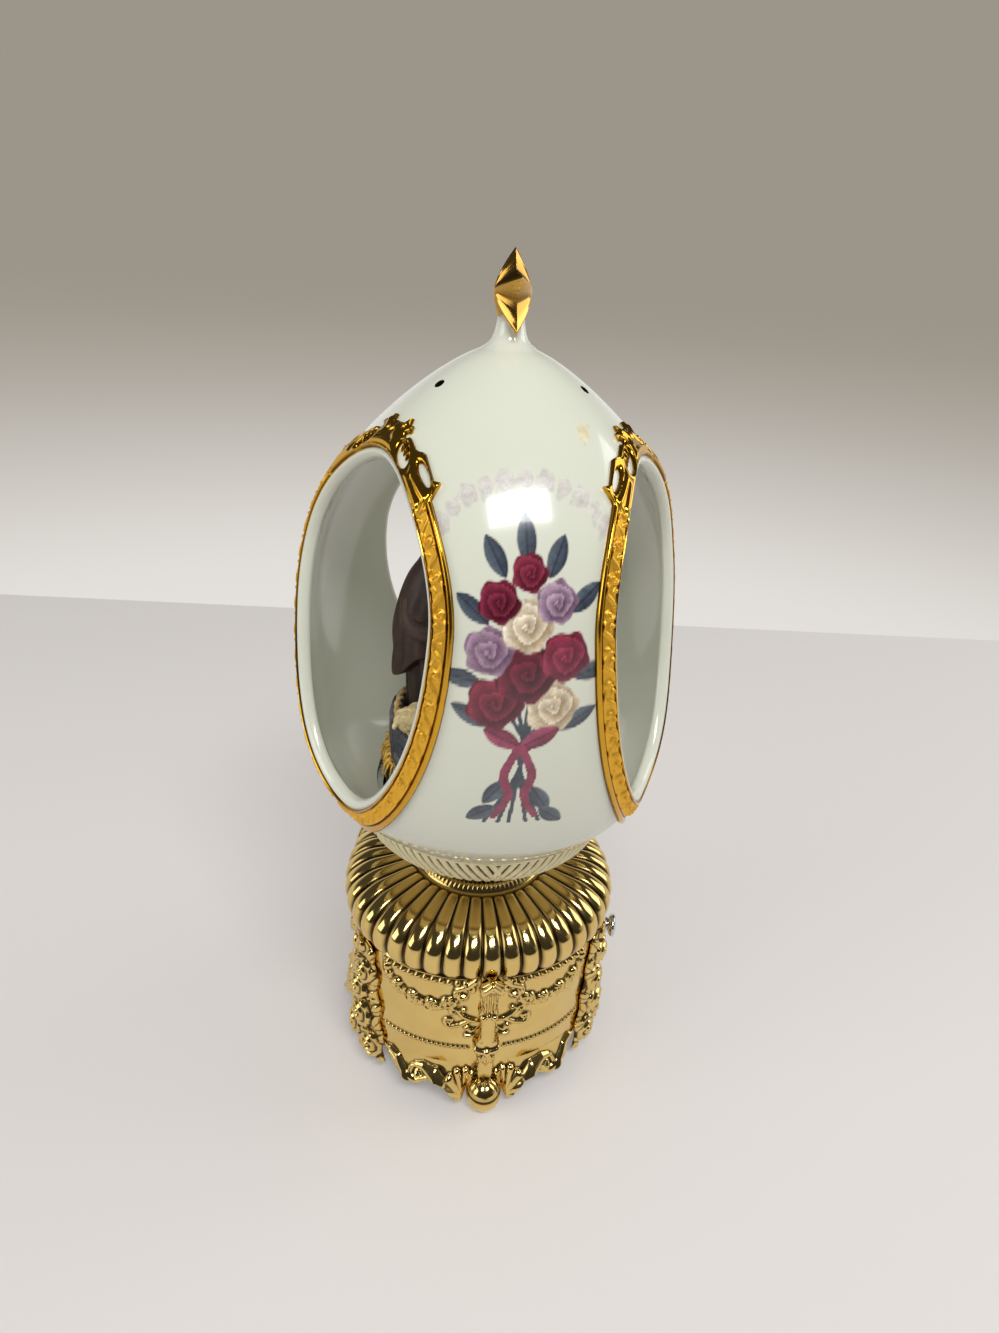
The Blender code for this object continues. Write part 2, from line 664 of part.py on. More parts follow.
def make_pilasters(gilt):
    """Corner castings: a moulded pilaster that ends in a ball foot."""
    back = wall_radius(0) + GAP
    centre = back + PILASTER_DEPTH / 2
    rings = []
    ball_centre = BALL_RADIUS - (BALL_RADIUS - math.sqrt(BALL_RADIUS**2 - FOOT_FLAT_RADIUS**2))
    start = math.acos(-ball_centre / BALL_RADIUS)
    for i in range(7):
        angle = start + (0.36 - start) * i / 6
        radius = BALL_RADIUS * math.sin(angle)
        rings.append((ball_centre + BALL_RADIUS * math.cos(angle), radius, radius, centre))
    for height, half_width in PILASTER_WIDTHS:
        rings.append((height * MM, half_width * MM, PILASTER_DEPTH / 2, centre))
    rings.append((PILASTER_TOP - 2 * MM, 3.4 * MM, PILASTER_DEPTH / 2, centre))
    rings.append((PILASTER_TOP, 0.8 * MM, PILASTER_DEPTH / 3, centre))
    outline = [
        [(half_width * x, -middle + depth * y, z) for x, y in circle(1.0, 8, phase=math.pi / 8)]
        for z, half_width, depth, middle in rings
    ]
    first = lofted("pilaster_foot_1", outline, gilt, 45)
    overhang = wall_radius(0) + SHOULDER_OVERHANG + GAP
    for v in first.data.vertices:
        lift = max(0.0, min(1.0, (v.co.z - (WALL_TOP - 4 * MM)) / (4 * MM)))
        v.co.y -= lift * (overhang - back)
    place_copies(first, "pilaster_foot", CORNERS)


def place_copies(first, name, azimuths):
    """Turn a piece to its first azimuth and add its copies at the others."""
    first.rotation_euler = (0, 0, math.radians(azimuths[0]))
    for number, azimuth in enumerate(azimuths[1:], 2):
        copy = bpy.data.objects.new(f"{name}_{number}", first.data)
        copy.rotation_euler = (0, 0, math.radians(azimuth))
        bpy.context.scene.collection.objects.link(copy)


def bouquet_relief(across, height):
    """How far the blooms stand out at a place on the bouquet."""
    best = 0.0
    for offset, level, radius in BLOOMS:
        away = math.hypot(across - offset * MM, height - level * MM) / (radius * MM)
        best = max(best, 1 - away * away)
    return BOUQUET_RELIEF * best


def make_bouquets(gilt):
    """Side castings: a column of roses and leaves that follows the wall."""
    columns = 6
    rows = 12
    back = wall_radius(180) + GAP
    rings = []
    for row in range(rows + 1):
        share = row / rows
        z = BOUQUET_BOTTOM + (BOUQUET_TOP - BOUQUET_BOTTOM) * share
        width = BOUQUET_LOW_WIDTH + (BOUQUET_HIGH_WIDTH - BOUQUET_LOW_WIDTH) * share
        width -= 1.2 * MM * (1 - math.cos(math.tau * 4 * share)) / 2
        front = []
        rear = []
        for column in range(columns + 1):
            across = width * (2 * column / columns - 1)
            azimuth = math.degrees(across / back)
            edge = 1 if 0 < column < columns and 0 < row < rows else 0
            out = BOUQUET_BACKING + edge * bouquet_relief(across, z)
            front.append(polar(azimuth, back + out, z))
            rear.append(polar(azimuth, back, z))
        rings.append(front + rear[::-1])
    bm = bmesh.new()
    made = skin(bm, rings)
    half = columns + 1
    for end in (made[0], made[-1]):
        for i in range(columns):
            bm.faces.new([end[i], end[i + 1], end[2 * half - 2 - i], end[2 * half - 1 - i]])
    first = finish("rose_bouquet_1", bm, gilt, 50)
    place_copies(first, "rose_bouquet", MIDDLES)


def make_cup(laurel_stuff):
    """Trumpet shaped cup whose laurel rim holds the egg's foot ring."""
    foot_outer = egg_radius(-foot_depth)
    rim_height = CUP_HEIGHT - (egg_foot - cup_bottom)
    middle_egg = egg_radius(-foot_depth + rim_height / 2)
    rim_egg = egg_radius(-foot_depth + rim_height)
    rim = rim_egg + CUP_LIP
    laurel_low = rim - 1.9 * MM
    bore = foot_outer - EGG_FOOT_WIDTH - CUP_BORE_INSET
    profile = [
        (rim_egg + GAP, cup_top), (rim, cup_top), (laurel_low, cup_top - LAUREL_HEIGHT),
        (laurel_low - 1.7 * MM, cup_top - LAUREL_HEIGHT - 1.5 * MM),
    ]
    profile += [(CUP_NECK_RADIUS + out * MM, cup_bottom + up * MM) for out, up in CUP_OUTSIDE]
    profile += [(CUP_FOOT_RADIUS, cup_bottom), (bushing_hole, cup_bottom), (bushing_hole, cup_floor_top)]
    profile += [(CUP_NECK_RADIUS + out * MM, cup_floor_top + up * MM) for out, up in CUP_INSIDE]
    profile += [
        (bore, seat_z - 2.2 * MM), (bore, seat_z), (foot_outer + GAP, seat_z),
        (middle_egg + 1.2 * GAP, seat_z + rim_height / 2),
    ]
    return turned("laurel_cup", profile, EGG_SIDES, laurel_stuff, phase=math.pi / EGG_SIDES, sharp=30)


def make_egg(porcelain, tool_stuff):
    """Porcelain shell with its stem, three windows and three vents."""
    flare_level = egg_apex - 1.4 * MM - egg_centre
    outer = [(egg_radius(h), egg_centre + h) for h in egg_heights(-foot_depth, flare_level, 14)]
    inner = [(egg_radius(-foot_depth) - EGG_FOOT_WIDTH, egg_foot)]
    for h in egg_heights(-foot_depth, flare_level, 9):
        out, up = egg_normal(h)
        inner.append((egg_radius(h) - EGG_WALL * out, egg_centre + h - EGG_WALL * up))
    inner_top = egg_apex - EGG_WALL
    stem = [
        (0, stem_top), (STEM_RADIUS - 0.3 * MM, stem_top), (STEM_RADIUS, stem_top - 0.5 * MM),
        (STEM_RADIUS + 0.1 * MM, egg_apex + 1.6 * MM), (STEM_RADIUS + STEM_FILLET, egg_apex + 0.4 * MM),
        (STEM_FLARE, egg_apex - 0.5 * MM),
    ]
    profile = stem + outer[::-1] + inner + [(0, inner_top)]
    shell = turned("egg_shell", profile, EGG_SIDES, porcelain, phase=math.pi / EGG_SIDES, sharp=30)
    loop = window_loop(WINDOW_HALF_ANGLE, WINDOW_UP, WINDOW_DOWN, 28)
    windows = []
    for azimuth in MIDDLES:
        rings = []
        for depth in (0.4 * EGG_RADIUS, 1.3 * EGG_RADIUS):
            rings.append([polar(azimuth + a, depth / math.cos(math.radians(a)), z) for a, z in loop])
        windows.append(lofted("window", rings, tool_stuff))
    boolean(shell, several("window_tool", windows, tool_stuff))
    vents = []
    out, up = egg_normal(vent_level)
    for azimuth in MIDDLES:
        middle = polar(azimuth, egg_radius(vent_level), egg_centre + vent_level)
        outward = polar(azimuth, out, up)
        reach = 2 * EGG_WALL
        path = (middle - reach * outward, middle + reach * outward)
        vents.append(rod("vent", path, VENT_RADIUS, 10, tool_stuff))
    boolean(shell, several("vent_tool", vents, tool_stuff))
    return shell


def make_trims(gold):
    """Embossed gold bands round the windows, with a swollen crest at the top."""
    count = 36
    inner = window_loop(WINDOW_HALF_ANGLE + 0.6, WINDOW_UP + TRIM_INSET, WINDOW_DOWN + TRIM_INSET, count)
    outer = window_loop(
        WINDOW_HALF_ANGLE + TRIM_SIDE_ANGLE, WINDOW_UP + TRIM_RISE, WINDOW_DOWN + TRIM_DROP, count
    )
    rings = []
    for (angle_in, z_in), (angle_out, z_out) in zip(inner, outer):
        swell = CREST_SWELL if z_out > egg_centre and abs(angle_out) < CREST_HALF_ANGLE else 0.0
        low_in = egg_radius(z_in - egg_centre) + TRIM_STANDOFF
        low_out = egg_radius(z_out - egg_centre) + TRIM_STANDOFF
        rings.append([
            polar(angle_in, low_in, z_in),
            polar(angle_in, low_in + TRIM_THICKNESS, z_in),
            polar(angle_out, low_out + TRIM_THICKNESS + swell, z_out),
            polar(angle_out, low_out, z_out),
        ])
    bm = bmesh.new()
    skin(bm, rings, joined=True)
    first = finish("window_trim_1", bm, gold)
    place_copies(first, "window_trim", MIDDLES)


def make_star(gold, tool_stuff):
    """Faceted five pointed star, thickest in its middle, with a socket for the stem."""
    rays = (STAR_RAY, STAR_RAY, STAR_LOW_RAY, STAR_LOW_RAY, STAR_RAY)
    bm = bmesh.new()
    rim = []
    for i, ray in enumerate(rays):
        for reach, turn in ((ray, 72 * i), (STAR_NOTCH, 72 * i + 36)):
            angle = math.radians(turn)
            rim.append(bm.verts.new((reach * math.sin(angle), 0.0, reach * math.cos(angle))))
    for side in (-1, 1):
        peak = bm.verts.new((0.0, side * STAR_HALF_THICKNESS, 0.0))
        for i in range(len(rim)):
            bm.faces.new([rim[i - 1], rim[i], peak])
    star = finish("star_finial", bm, gold, 10)
    star.location = (0, 0, stem_top + GAP + STAR_NOTCH)
    star.rotation_euler = (0, 0, math.radians(STAR_AZIMUTH))
    socket = [
        (0, stem_top + GAP), (STEM_RADIUS + GAP, stem_top + GAP),
        (STEM_RADIUS + STEM_FILLET + GAP, egg_apex), (0, egg_apex),
    ]
    boolean(star, turned("star_socket_tool", socket, 20, tool_stuff))
    return star


def make_shaft_group(brass, steel, wood):
    """Bushing and nut that clamp the cup, and the shaft that turns the figures."""
    flange_top = top_underside - GAP
    nut_bottom = cup_floor_top + GAP
    profile = [
        (bushing_bore, nut_bottom + NUT_HEIGHT + GAP), (bushing_radius, nut_bottom + NUT_HEIGHT + GAP),
        (bushing_radius, flange_top), (BUSHING_FLANGE_RADIUS, flange_top),
        (BUSHING_FLANGE_RADIUS, flange_top - BUSHING_FLANGE), (bushing_radius, flange_top - BUSHING_FLANGE),
        (bushing_radius, bushing_bottom), (bushing_bore, bushing_bottom),
    ]
    turned("shaft_bushing", profile, 16, brass)
    hexagon = circle(NUT_WIDTH, 6)
    bore = circle(bushing_radius + GAP, 12)
    plate("bushing_nut", hexagon, [bore], nut_bottom, nut_bottom + NUT_HEIGHT, brass)

    hub_bottom = turntable_bottom - TURNTABLE_HUB_HEIGHT
    shaft_top = turntable_bottom - GAP
    groove_top = bushing_bottom
    groove_bottom = groove_top - CLIP_THICKNESS - 2 * GAP
    groove = SHAFT_RADIUS - CLIP_GROOVE_DEPTH
    low = turn_gear_bottom - 2 * GAP
    profile = [
        (0, shaft_top), (SHAFT_RADIUS, shaft_top), (SHAFT_RADIUS, groove_top), (groove, groove_top),
        (groove, groove_bottom), (SHAFT_RADIUS, groove_bottom), (SHAFT_RADIUS, low), (0, low),
    ]
    turned("figure_shaft", profile, 12, steel)
    opening = math.radians(35)
    inner = groove + GAP
    turns = [opening + (math.tau - 2 * opening) * i / 12 for i in range(13)]
    outline = [(CLIP_RADIUS * math.cos(a), CLIP_RADIUS * math.sin(a)) for a in turns]
    outline += [(inner * math.cos(a), inner * math.sin(a)) for a in reversed(turns)]
    plate("shaft_clip", outline, [], groove_bottom + GAP, groove_top - GAP, steel)

    disc_top = turntable_bottom + TURNTABLE_THICKNESS
    bore = SHAFT_RADIUS + SHAFT_GAP
    profile = [
        (0, disc_top), (TURNTABLE_RADIUS, disc_top), (TURNTABLE_RADIUS, turntable_bottom),
        (TURNTABLE_HUB_RADIUS, turntable_bottom), (TURNTABLE_HUB_RADIUS, hub_bottom),
        (bore, hub_bottom), (bore, turntable_bottom), (0, turntable_bottom),
    ]
    turned("turntable", profile, 30, wood)
    outline = gear_outline(
        TURN_TEETH, turn_radius + TURN_TIP, turn_radius - TURN_ROOT, math.pi / TURN_TEETH
    )
    bore_points = circle(SHAFT_RADIUS + SHAFT_GAP, 12)
    top = turn_gear_bottom + TURN_WIDTH
    plate("turntable_gear", outline, [bore_points], turn_gear_bottom, top, brass)


def make_bed(zinc, tool_stuff):
    """Cast bedplate of the movement, with the pin that the click turns on."""
    outline = [(x * MM, y * MM) for x, y in BED_CORNERS]
    holes = [circle(ARBOR_RADIUS + SHAFT_GAP, 12, (BARREL_X, 0))]
    for x, y in MOVEMENT_SCREWS:
        holes.append(circle(MOVEMENT_SCREW_RADIUS + SCREW_GAP, 8, (x * MM, y * MM)))
    bed = plate("movement_bedplate", outline, holes, bed_bottom, bed_top, zinc)
    centre = (BARREL_X + CLICK_PIVOT[0] * MM, CLICK_PIVOT[1] * MM)
    pin = drill("click_pin_tool", CLICK_PIN_RADIUS, bed_top - 1 * MM, deck + RATCHET_THICKNESS,
                centre, tool_stuff, 8)
    boolean(bed, pin, "UNION")
    return bed


def make_winding(steel, brass, tool_stuff):
    """Key, arbor, ratchet wheel and click."""
    wing_bottom = KEY_FLOOR_GAP
    wing_top = wing_bottom + KEY_WING_HEIGHT
    hub_top = PLATE_BOTTOM - GAP
    arbor_bottom = wing_top + GAP
    bore = ARBOR_RADIUS + SHAFT_GAP
    hub_low = wing_bottom + 1 * MM
    profile = [
        (0, wing_top), (bore, wing_top), (bore, hub_top), (KEY_HUB_RADIUS, hub_top),
        (KEY_HUB_RADIUS, hub_low), (0, hub_low),
    ]
    key = turned("winding_key", profile, 16, brass)
    half = KEY_SPAN / 2
    low = wing_bottom
    high = wing_top
    right = [
        (KEY_HUB_RADIUS, high - KEY_WAIST), (half - KEY_SHOULDER, high), (half, high - KEY_CORNER),
        (half, low + KEY_CORNER), (half - KEY_SHOULDER, low), (KEY_HUB_RADIUS, low + KEY_WAIST),
    ]
    outline = right + [(-x, z) for x, z in reversed(right)]
    thin = KEY_WING_THICKNESS / 2
    wing = plate("key_wing_tool", outline, [], -thin, thin, tool_stuff)
    wing.rotation_euler = (math.pi / 2, 0, 0)
    wing.location = (BARREL_X, 0, 0)
    boolean(key, wing, "UNION")
    stand_on(key, BARREL_X)

    arbor_top = barrel_top - BARREL_WALL - 3 * GAP
    profile = [(0, arbor_top), (ARBOR_RADIUS, arbor_top), (ARBOR_RADIUS, arbor_bottom), (0, arbor_bottom)]
    stand_on(turned("winding_arbor", profile, 12, steel), BARREL_X)

    pitch = math.tau / RATCHET_TEETH
    outline = []
    for i in range(RATCHET_TEETH):
        start = pitch * (i + 0.5)
        outline.append(((RATCHET_RADIUS - RATCHET_TOOTH) * math.cos(start),
                        (RATCHET_RADIUS - RATCHET_TOOTH) * math.sin(start)))
        tip = start + pitch / 30
        outline.append((RATCHET_RADIUS * math.cos(tip), RATCHET_RADIUS * math.sin(tip)))
    hole = circle(ARBOR_RADIUS + SHAFT_GAP, 12)
    top = deck + RATCHET_THICKNESS
    stand_on(plate("ratchet_wheel", outline, [hole], deck, top, steel), BARREL_X)

    pivot = Vector((CLICK_PIVOT[0] * MM, CLICK_PIVOT[1] * MM))
    outline = [(x * MM - pivot.x, y * MM - pivot.y) for x, y in CLICK_OUTLINE]
    hole = circle(CLICK_PIN_RADIUS + SHAFT_GAP, 8)
    click = plate("click", outline, [hole], deck, top, steel)
    stand_on(click, BARREL_X + pivot.x, pivot.y)


def make_barrel(brass, steel, tool_stuff):
    """Spring barrel with its crown wheel, the mainspring, the cover and the drive gear."""
    inner = BARREL_RADIUS - BARREL_WALL
    floor = barrel_bottom + BARREL_WALL
    profile = [
        (inner, barrel_top), (BARREL_RADIUS, barrel_top), (BARREL_RADIUS, crown_root),
        (CROWN_INNER, crown_root), (CROWN_INNER, crown_tip), (CROWN_OUTER, crown_tip),
        (CROWN_OUTER, crown_web_bottom), (BARREL_RADIUS, crown_web_bottom),
        (BARREL_RADIUS, barrel_bottom), (ARBOR_RADIUS + SHAFT_GAP, barrel_bottom),
        (ARBOR_RADIUS + SHAFT_GAP, floor), (inner, floor),
    ]
    barrel = turned("spring_barrel", profile, CROWN_TEETH, brass)
    slots = []
    width = math.tau * crown_pitch_radius / CROWN_TEETH - CROWN_TOOTH_WIDTH
    for i in range(CROWN_TEETH):
        angle = math.tau * i / CROWN_TEETH
        outline = [
            (CROWN_INNER - 0.2 * MM, -width / 2), (CROWN_OUTER + 0.5 * MM, -width / 2),
            (CROWN_OUTER + 0.5 * MM, width / 2), (CROWN_INNER - 0.2 * MM, width / 2),
        ]
        slot = plate("slot", outline, [], crown_root + 0.1 * MM, crown_tip + 0.5 * MM, tool_stuff)
        slot.rotation_euler = (0, 0, angle)
        slots.append(slot)
    bpy.context.view_layer.update()
    tool = several("crown_slot_tool", slots, tool_stuff)
    boolean(barrel, stand_on(tool, BARREL_X))
    stand_on(barrel, BARREL_X)

    cover_bottom = barrel_top - BARREL_WALL - GAP
    cover_top = cover_bottom + BARREL_WALL
    post_top = turn_gear_bottom + TURN_WIDTH + GAP
    profile = [
        (0, post_top), (POST_RADIUS, post_top), (POST_RADIUS, turn_gear_bottom - GAP),
        (POST_RADIUS + 1 * MM, turn_gear_bottom - GAP), (POST_RADIUS + 1 * MM, cover_top),
        (inner - GAP, cover_top), (inner - GAP, cover_bottom), (0, cover_bottom),
    ]
    stand_on(turned("barrel_cover", profile, 20, brass), BARREL_X)

    start = ARBOR_RADIUS + 2 * GAP
    end = inner - GAP - SPRING_THICKNESS
    low = floor + GAP
    high = cover_bottom - GAP
    rings = []
    steps = 12 * SPRING_TURNS
    for i in range(steps + 1):
        angle = math.tau * SPRING_TURNS * i / steps
        reach = start + (end - start) * i / steps
        ring = []
        for radius, z in ((reach, low), (reach + SPRING_THICKNESS, low),
                          (reach + SPRING_THICKNESS, high), (reach, high)):
            ring.append((radius * math.cos(angle), radius * math.sin(angle), z))
        rings.append(ring)
    stand_on(lofted("mainspring", rings, steel), BARREL_X)

    outline = gear_outline(TURN_TEETH, turn_radius + TURN_TIP, turn_radius - TURN_ROOT)
    hole = circle(POST_RADIUS + SHAFT_GAP, 12)
    top = turn_gear_bottom + TURN_WIDTH
    stand_on(plate("drive_gear", outline, [hole], turn_gear_bottom, top, brass), BARREL_X)


def make_cylinder(brass, steel):
    """Pinned cylinder with its arbor, the pinion at the barrel and the wheel at the governor."""
    bore = CYLINDER_ARBOR_RADIUS + SHAFT_GAP
    columns = COMB_TEETH // 2
    start = CYLINDER_START
    steps = [start + CYLINDER_LENGTH * i / columns for i in range(columns + 1)]
    profile = [(bore, start)] + [(CYLINDER_RADIUS, x) for x in steps] + [(bore, start + CYLINDER_LENGTH)]
    drum = turned("music_cylinder", profile, 16, brass)
    bm = bmesh.new()
    bm.from_mesh(drum.data)
    bm.faces.ensure_lookup_table()
    outside = [f for f in bm.faces if f.calc_center_median().xy.length > 0.9 * CYLINDER_RADIUS]
    pinned = [f for i, f in enumerate(sorted(outside, key=face_place)) if i * 7 % 10 == 0]
    bmesh.ops.inset_individual(bm, faces=pinned, thickness=PIN_INSET, use_even_offset=True)
    for face in pinned:
        outward = face.normal.copy()
        for v in face.verts:
            v.co += outward * CYLINDER_PIN
    bm.to_mesh(drum.data)
    bm.free()
    stand_on(drum, 0, 0, cylinder_axis_z, "X")

    left = pinion_end - PINION_WIDTH
    right = right_bracket_x + BRACKET_THICKNESS + GAP
    profile = [(0, right), (CYLINDER_ARBOR_RADIUS, right), (CYLINDER_ARBOR_RADIUS, left), (0, left)]
    stand_on(turned("cylinder_arbor", profile, 12, steel), 0, 0, cylinder_axis_z, "X")
    hole = circle(bore, 10)
    outline = gear_outline(
        PINION_TEETH, pinion_pitch_radius + PINION_TIP, pinion_pitch_radius - PINION_ROOT
    )
    pinion = plate("cylinder_pinion", outline, [hole], left, pinion_end, brass)
    stand_on(pinion, 0, 0, cylinder_axis_z, "X")
    outline = gear_outline(WHEEL_TEETH, wheel_radius + WHEEL_MODULE, wheel_radius - 1.3 * WHEEL_MODULE)
    wheel = plate("cylinder_wheel", outline, [hole], wheel_x, wheel_x + WHEEL_WIDTH, brass)
    stand_on(wheel, 0, 0, cylinder_axis_z, "X")


def face_place(face):
    """Order of the cylinder's faces: along the axis, then around it."""
    middle = face.calc_center_median()
    return (round(middle.z, 5), round(math.atan2(middle.y, middle.x), 3))


def upright(name, x0, x1, outline, holes, made_of):
    """Plate that stands across X. Its outline is in Y and Z."""
    turned_outline = [(-z, y) for y, z in outline]
    turned_holes = [[(-z, y) for y, z in hole] for hole in holes]
    return stand_on(plate(name, turned_outline, turned_holes, x0, x1, made_of), 0, 0, 0, "X")


def make_brackets(zinc):
    """Two uprights that carry the cylinder's arbor."""
    half = BRACKET_HALF_WIDTH
    top = cylinder_axis_z + BRACKET_OVER_AXIS
    outline = [(-half, deck), (half, deck), (half, top - 1 * MM), (half - 1 * MM, top),
               (1 * MM - half, top), (-half, top - 1 * MM)]
    hole = circle(CYLINDER_ARBOR_RADIUS + SHAFT_GAP, 12, (0, cylinder_axis_z))
    for name, x in (("cylinder_bracket_left", left_bracket_x), ("cylinder_bracket_right", right_bracket_x)):
        upright(name, x, x + BRACKET_THICKNESS, outline, [hole], zinc)


def make_comb(steel, zinc):
    """Steel comb of 18 teeth, screwed on its base."""
    left = CYLINDER_START + 0.2 * MM
    width = CYLINDER_LENGTH - 0.4 * MM
    pitch = width / COMB_TEETH
    root = comb_front + COMB_TOOTH_LENGTH
    rear = root + COMB_HEEL
    outline = [(left, root)]
    for i in range(COMB_TEETH):
        x0 = left + pitch * (i + COMB_SLOT_SHARE / 2)
        x1 = left + pitch * (i + 1 - COMB_SLOT_SHARE / 2)
        outline += [(x0, root), (x0, comb_front), (x1, comb_front), (x1, root)]
    outline += [(left + width, root), (left + width, rear), (left, rear)]
    bottom = cylinder_axis_z - COMB_THICKNESS / 2
    top = bottom + COMB_THICKNESS
    middle = root + COMB_HEEL / 2
    places = [(left + width * share, middle) for share in COMB_SCREW_PLACES]
    holes = [circle(COMB_SCREW_RADIUS + SCREW_GAP, 8, p) for p in places]
    plate("comb", outline, holes, bottom, top, steel)
    base_front = root + 0.6 * MM
    block = [(left, base_front), (left + width, base_front), (left + width, rear), (left, rear)]
    plate("comb_base", block, holes, deck, bottom - GAP, zinc)
    for number, (x, y) in enumerate(places, 1):
        shank = bottom - 5 * MM
        head = top + COMB_HEAD_HEIGHT
        profile = [
            (0, head), (COMB_HEAD_RADIUS - 0.4 * MM, head), (COMB_HEAD_RADIUS, head - 0.5 * MM),
            (COMB_HEAD_RADIUS, top + GAP), (COMB_SCREW_RADIUS, top + GAP), (COMB_SCREW_RADIUS, shank),
            (0, shank),
        ]
        stand_on(turned(f"comb_screw_{number}", profile, 8, steel), x, y)


def make_governor(brass, steel, zinc, tool_stuff):
    """Air brake: arbor with pinion and worm wheel, worm shaft with the fly, and their frame."""
    axis = (governor_y, cylinder_axis_z)
    bracket_x1 = FRAME_ARM_LEFT - GAP
    bracket_x0 = bracket_x1 - FRAME_THICKNESS
    post_x0 = right_bracket_x
    post_x1 = post_x0 + FRAME_POST
    thin = GOVERNOR_ARBOR_RADIUS
    profile = [(0, post_x1), (thin, post_x1), (thin, bracket_x0), (0, bracket_x0)]
    stand_on(turned("governor_arbor", profile, 10, steel), 0, *axis, "X")
    hole = circle(GOVERNOR_ARBOR_RADIUS + SHAFT_GAP, 10)
    phase = math.pi / 2 - math.pi / GOVERNOR_PINION_TEETH
    tip = governor_pinion_radius + 0.9 * WHEEL_MODULE
    root = governor_pinion_radius - 1.3 * WHEEL_MODULE
    outline = gear_outline(GOVERNOR_PINION_TEETH, tip, root, phase)
    pinion = plate("governor_pinion", outline, [hole], wheel_x, wheel_x + WHEEL_WIDTH, brass)
    stand_on(pinion, 0, *axis, "X")
    tooth = WORM_WHEEL_TOOTH
    outline = gear_outline(WORM_WHEEL_TEETH, WORM_WHEEL_RADIUS + tooth, WORM_WHEEL_RADIUS - 1.2 * tooth)
    half = WHEEL_WIDTH / 2
    wheel = plate("worm_wheel", outline, [hole], WORM_X - half, WORM_X + half, brass)
    stand_on(wheel, 0, *axis, "X")

    lead = WORM_STARTS * math.tau * WORM_WHEEL_RADIUS / WORM_WHEEL_TEETH
    low = cylinder_axis_z - WORM_LENGTH / 2
    rings = []
    shaft_low = deck + GAP
    shaft_high = frame_top + FRAME_THICKNESS
    for z in (shaft_low, low - 0.2 * MM):
        rings.append([(x, y, z) for x, y in circle(WORM_SHAFT_RADIUS, 8)])
    steps = int(8 * WORM_LENGTH / lead)
    for i in range(steps + 1):
        z = low + WORM_LENGTH * i / steps
        twist = math.tau * (z - cylinder_axis_z) / lead + math.pi / 2
        ring = []
        for x, y in circle(1.0, 8):
            point = Matrix.Rotation(twist, 2) @ Vector((x * WORM_RADIUS, y * WORM_CORE))
            ring.append((point.x, point.y, z))
        shift = round(twist / math.tau * 8) % 8
        rings.append(ring[-shift:] + ring[:-shift] if shift else ring)
    for z in (low + WORM_LENGTH + 0.2 * MM, shaft_high):
        rings.append([(x, y, z) for x, y in circle(WORM_SHAFT_RADIUS, 8)])
    stand_on(lofted("worm_shaft", rings, steel), WORM_X, worm_y)

    fly_top = fly_bottom + FLY_HEIGHT
    hub = turned(
        "fly",
        [(WORM_SHAFT_RADIUS + SHAFT_GAP, fly_top), (FLY_HUB_RADIUS, fly_top),
         (FLY_HUB_RADIUS, fly_bottom), (WORM_SHAFT_RADIUS + SHAFT_GAP, fly_bottom)],
        10, brass,
    )
    vanes = []
    for side in (-1, 1):
        inner = side * (WORM_SHAFT_RADIUS + 2 * SHAFT_GAP)
        outer = side * FLY_SPAN / 2
        thin = FLY_THICKNESS / 2
        outline = [(-thin, inner), (thin, inner), (thin, outer), (-thin, outer)]
        vanes.append(plate("vane", outline, [], fly_bottom + 0.3 * MM, fly_top - 0.3 * MM, tool_stuff))
    boolean(hub, stand_on(several("vane_tool", vanes, tool_stuff), WORM_X, worm_y), "UNION")
    stand_on(hub, WORM_X, worm_y)

    top = frame_top + FRAME_THICKNESS
    low_arm = deck + FRAME_THICKNESS
    front, rear = (y * MM for y in FRAME_SIDES)
    outline = [
        (FRAME_ARM_LEFT, deck), (post_x1, deck), (post_x1, top), (FRAME_ARM_LEFT, top),
        (FRAME_ARM_LEFT, frame_top), (post_x0, frame_top), (post_x0, low_arm), (FRAME_ARM_LEFT, low_arm),
    ]
    frame = plate("governor_frame", outline, [], -front, -rear, zinc)
    frame.rotation_euler = (math.pi / 2, 0, 0)
    shaft_hole = WORM_SHAFT_RADIUS + SHAFT_GAP
    worm_at = (WORM_X, worm_y)
    holes = [
        drill("low_hole", shaft_hole, deck - 1 * MM, low_arm + 1 * MM, worm_at, tool_stuff, 8),
        drill("top_hole", shaft_hole, frame_top - 1 * MM, top + 1 * MM, worm_at, tool_stuff, 8),
        rod("arbor_hole", ((post_x0 - 1 * MM, *axis), (post_x1 + 1 * MM, *axis)),
            GOVERNOR_ARBOR_RADIUS + SHAFT_GAP, 10, tool_stuff),
    ]
    bpy.context.view_layer.update()
    boolean(frame, several("governor_hole_tool", holes, tool_stuff))
    reach = 2.4 * MM
    outline = [
        (governor_y - reach, deck), (governor_y + reach, deck), (governor_y + reach, axis[1] + reach),
        (governor_y - reach, axis[1] + reach),
    ]
    hole = circle(GOVERNOR_ARBOR_RADIUS + SHAFT_GAP, 10, axis)
    upright("governor_bracket", bracket_x0, bracket_x1, outline, [hole], zinc)


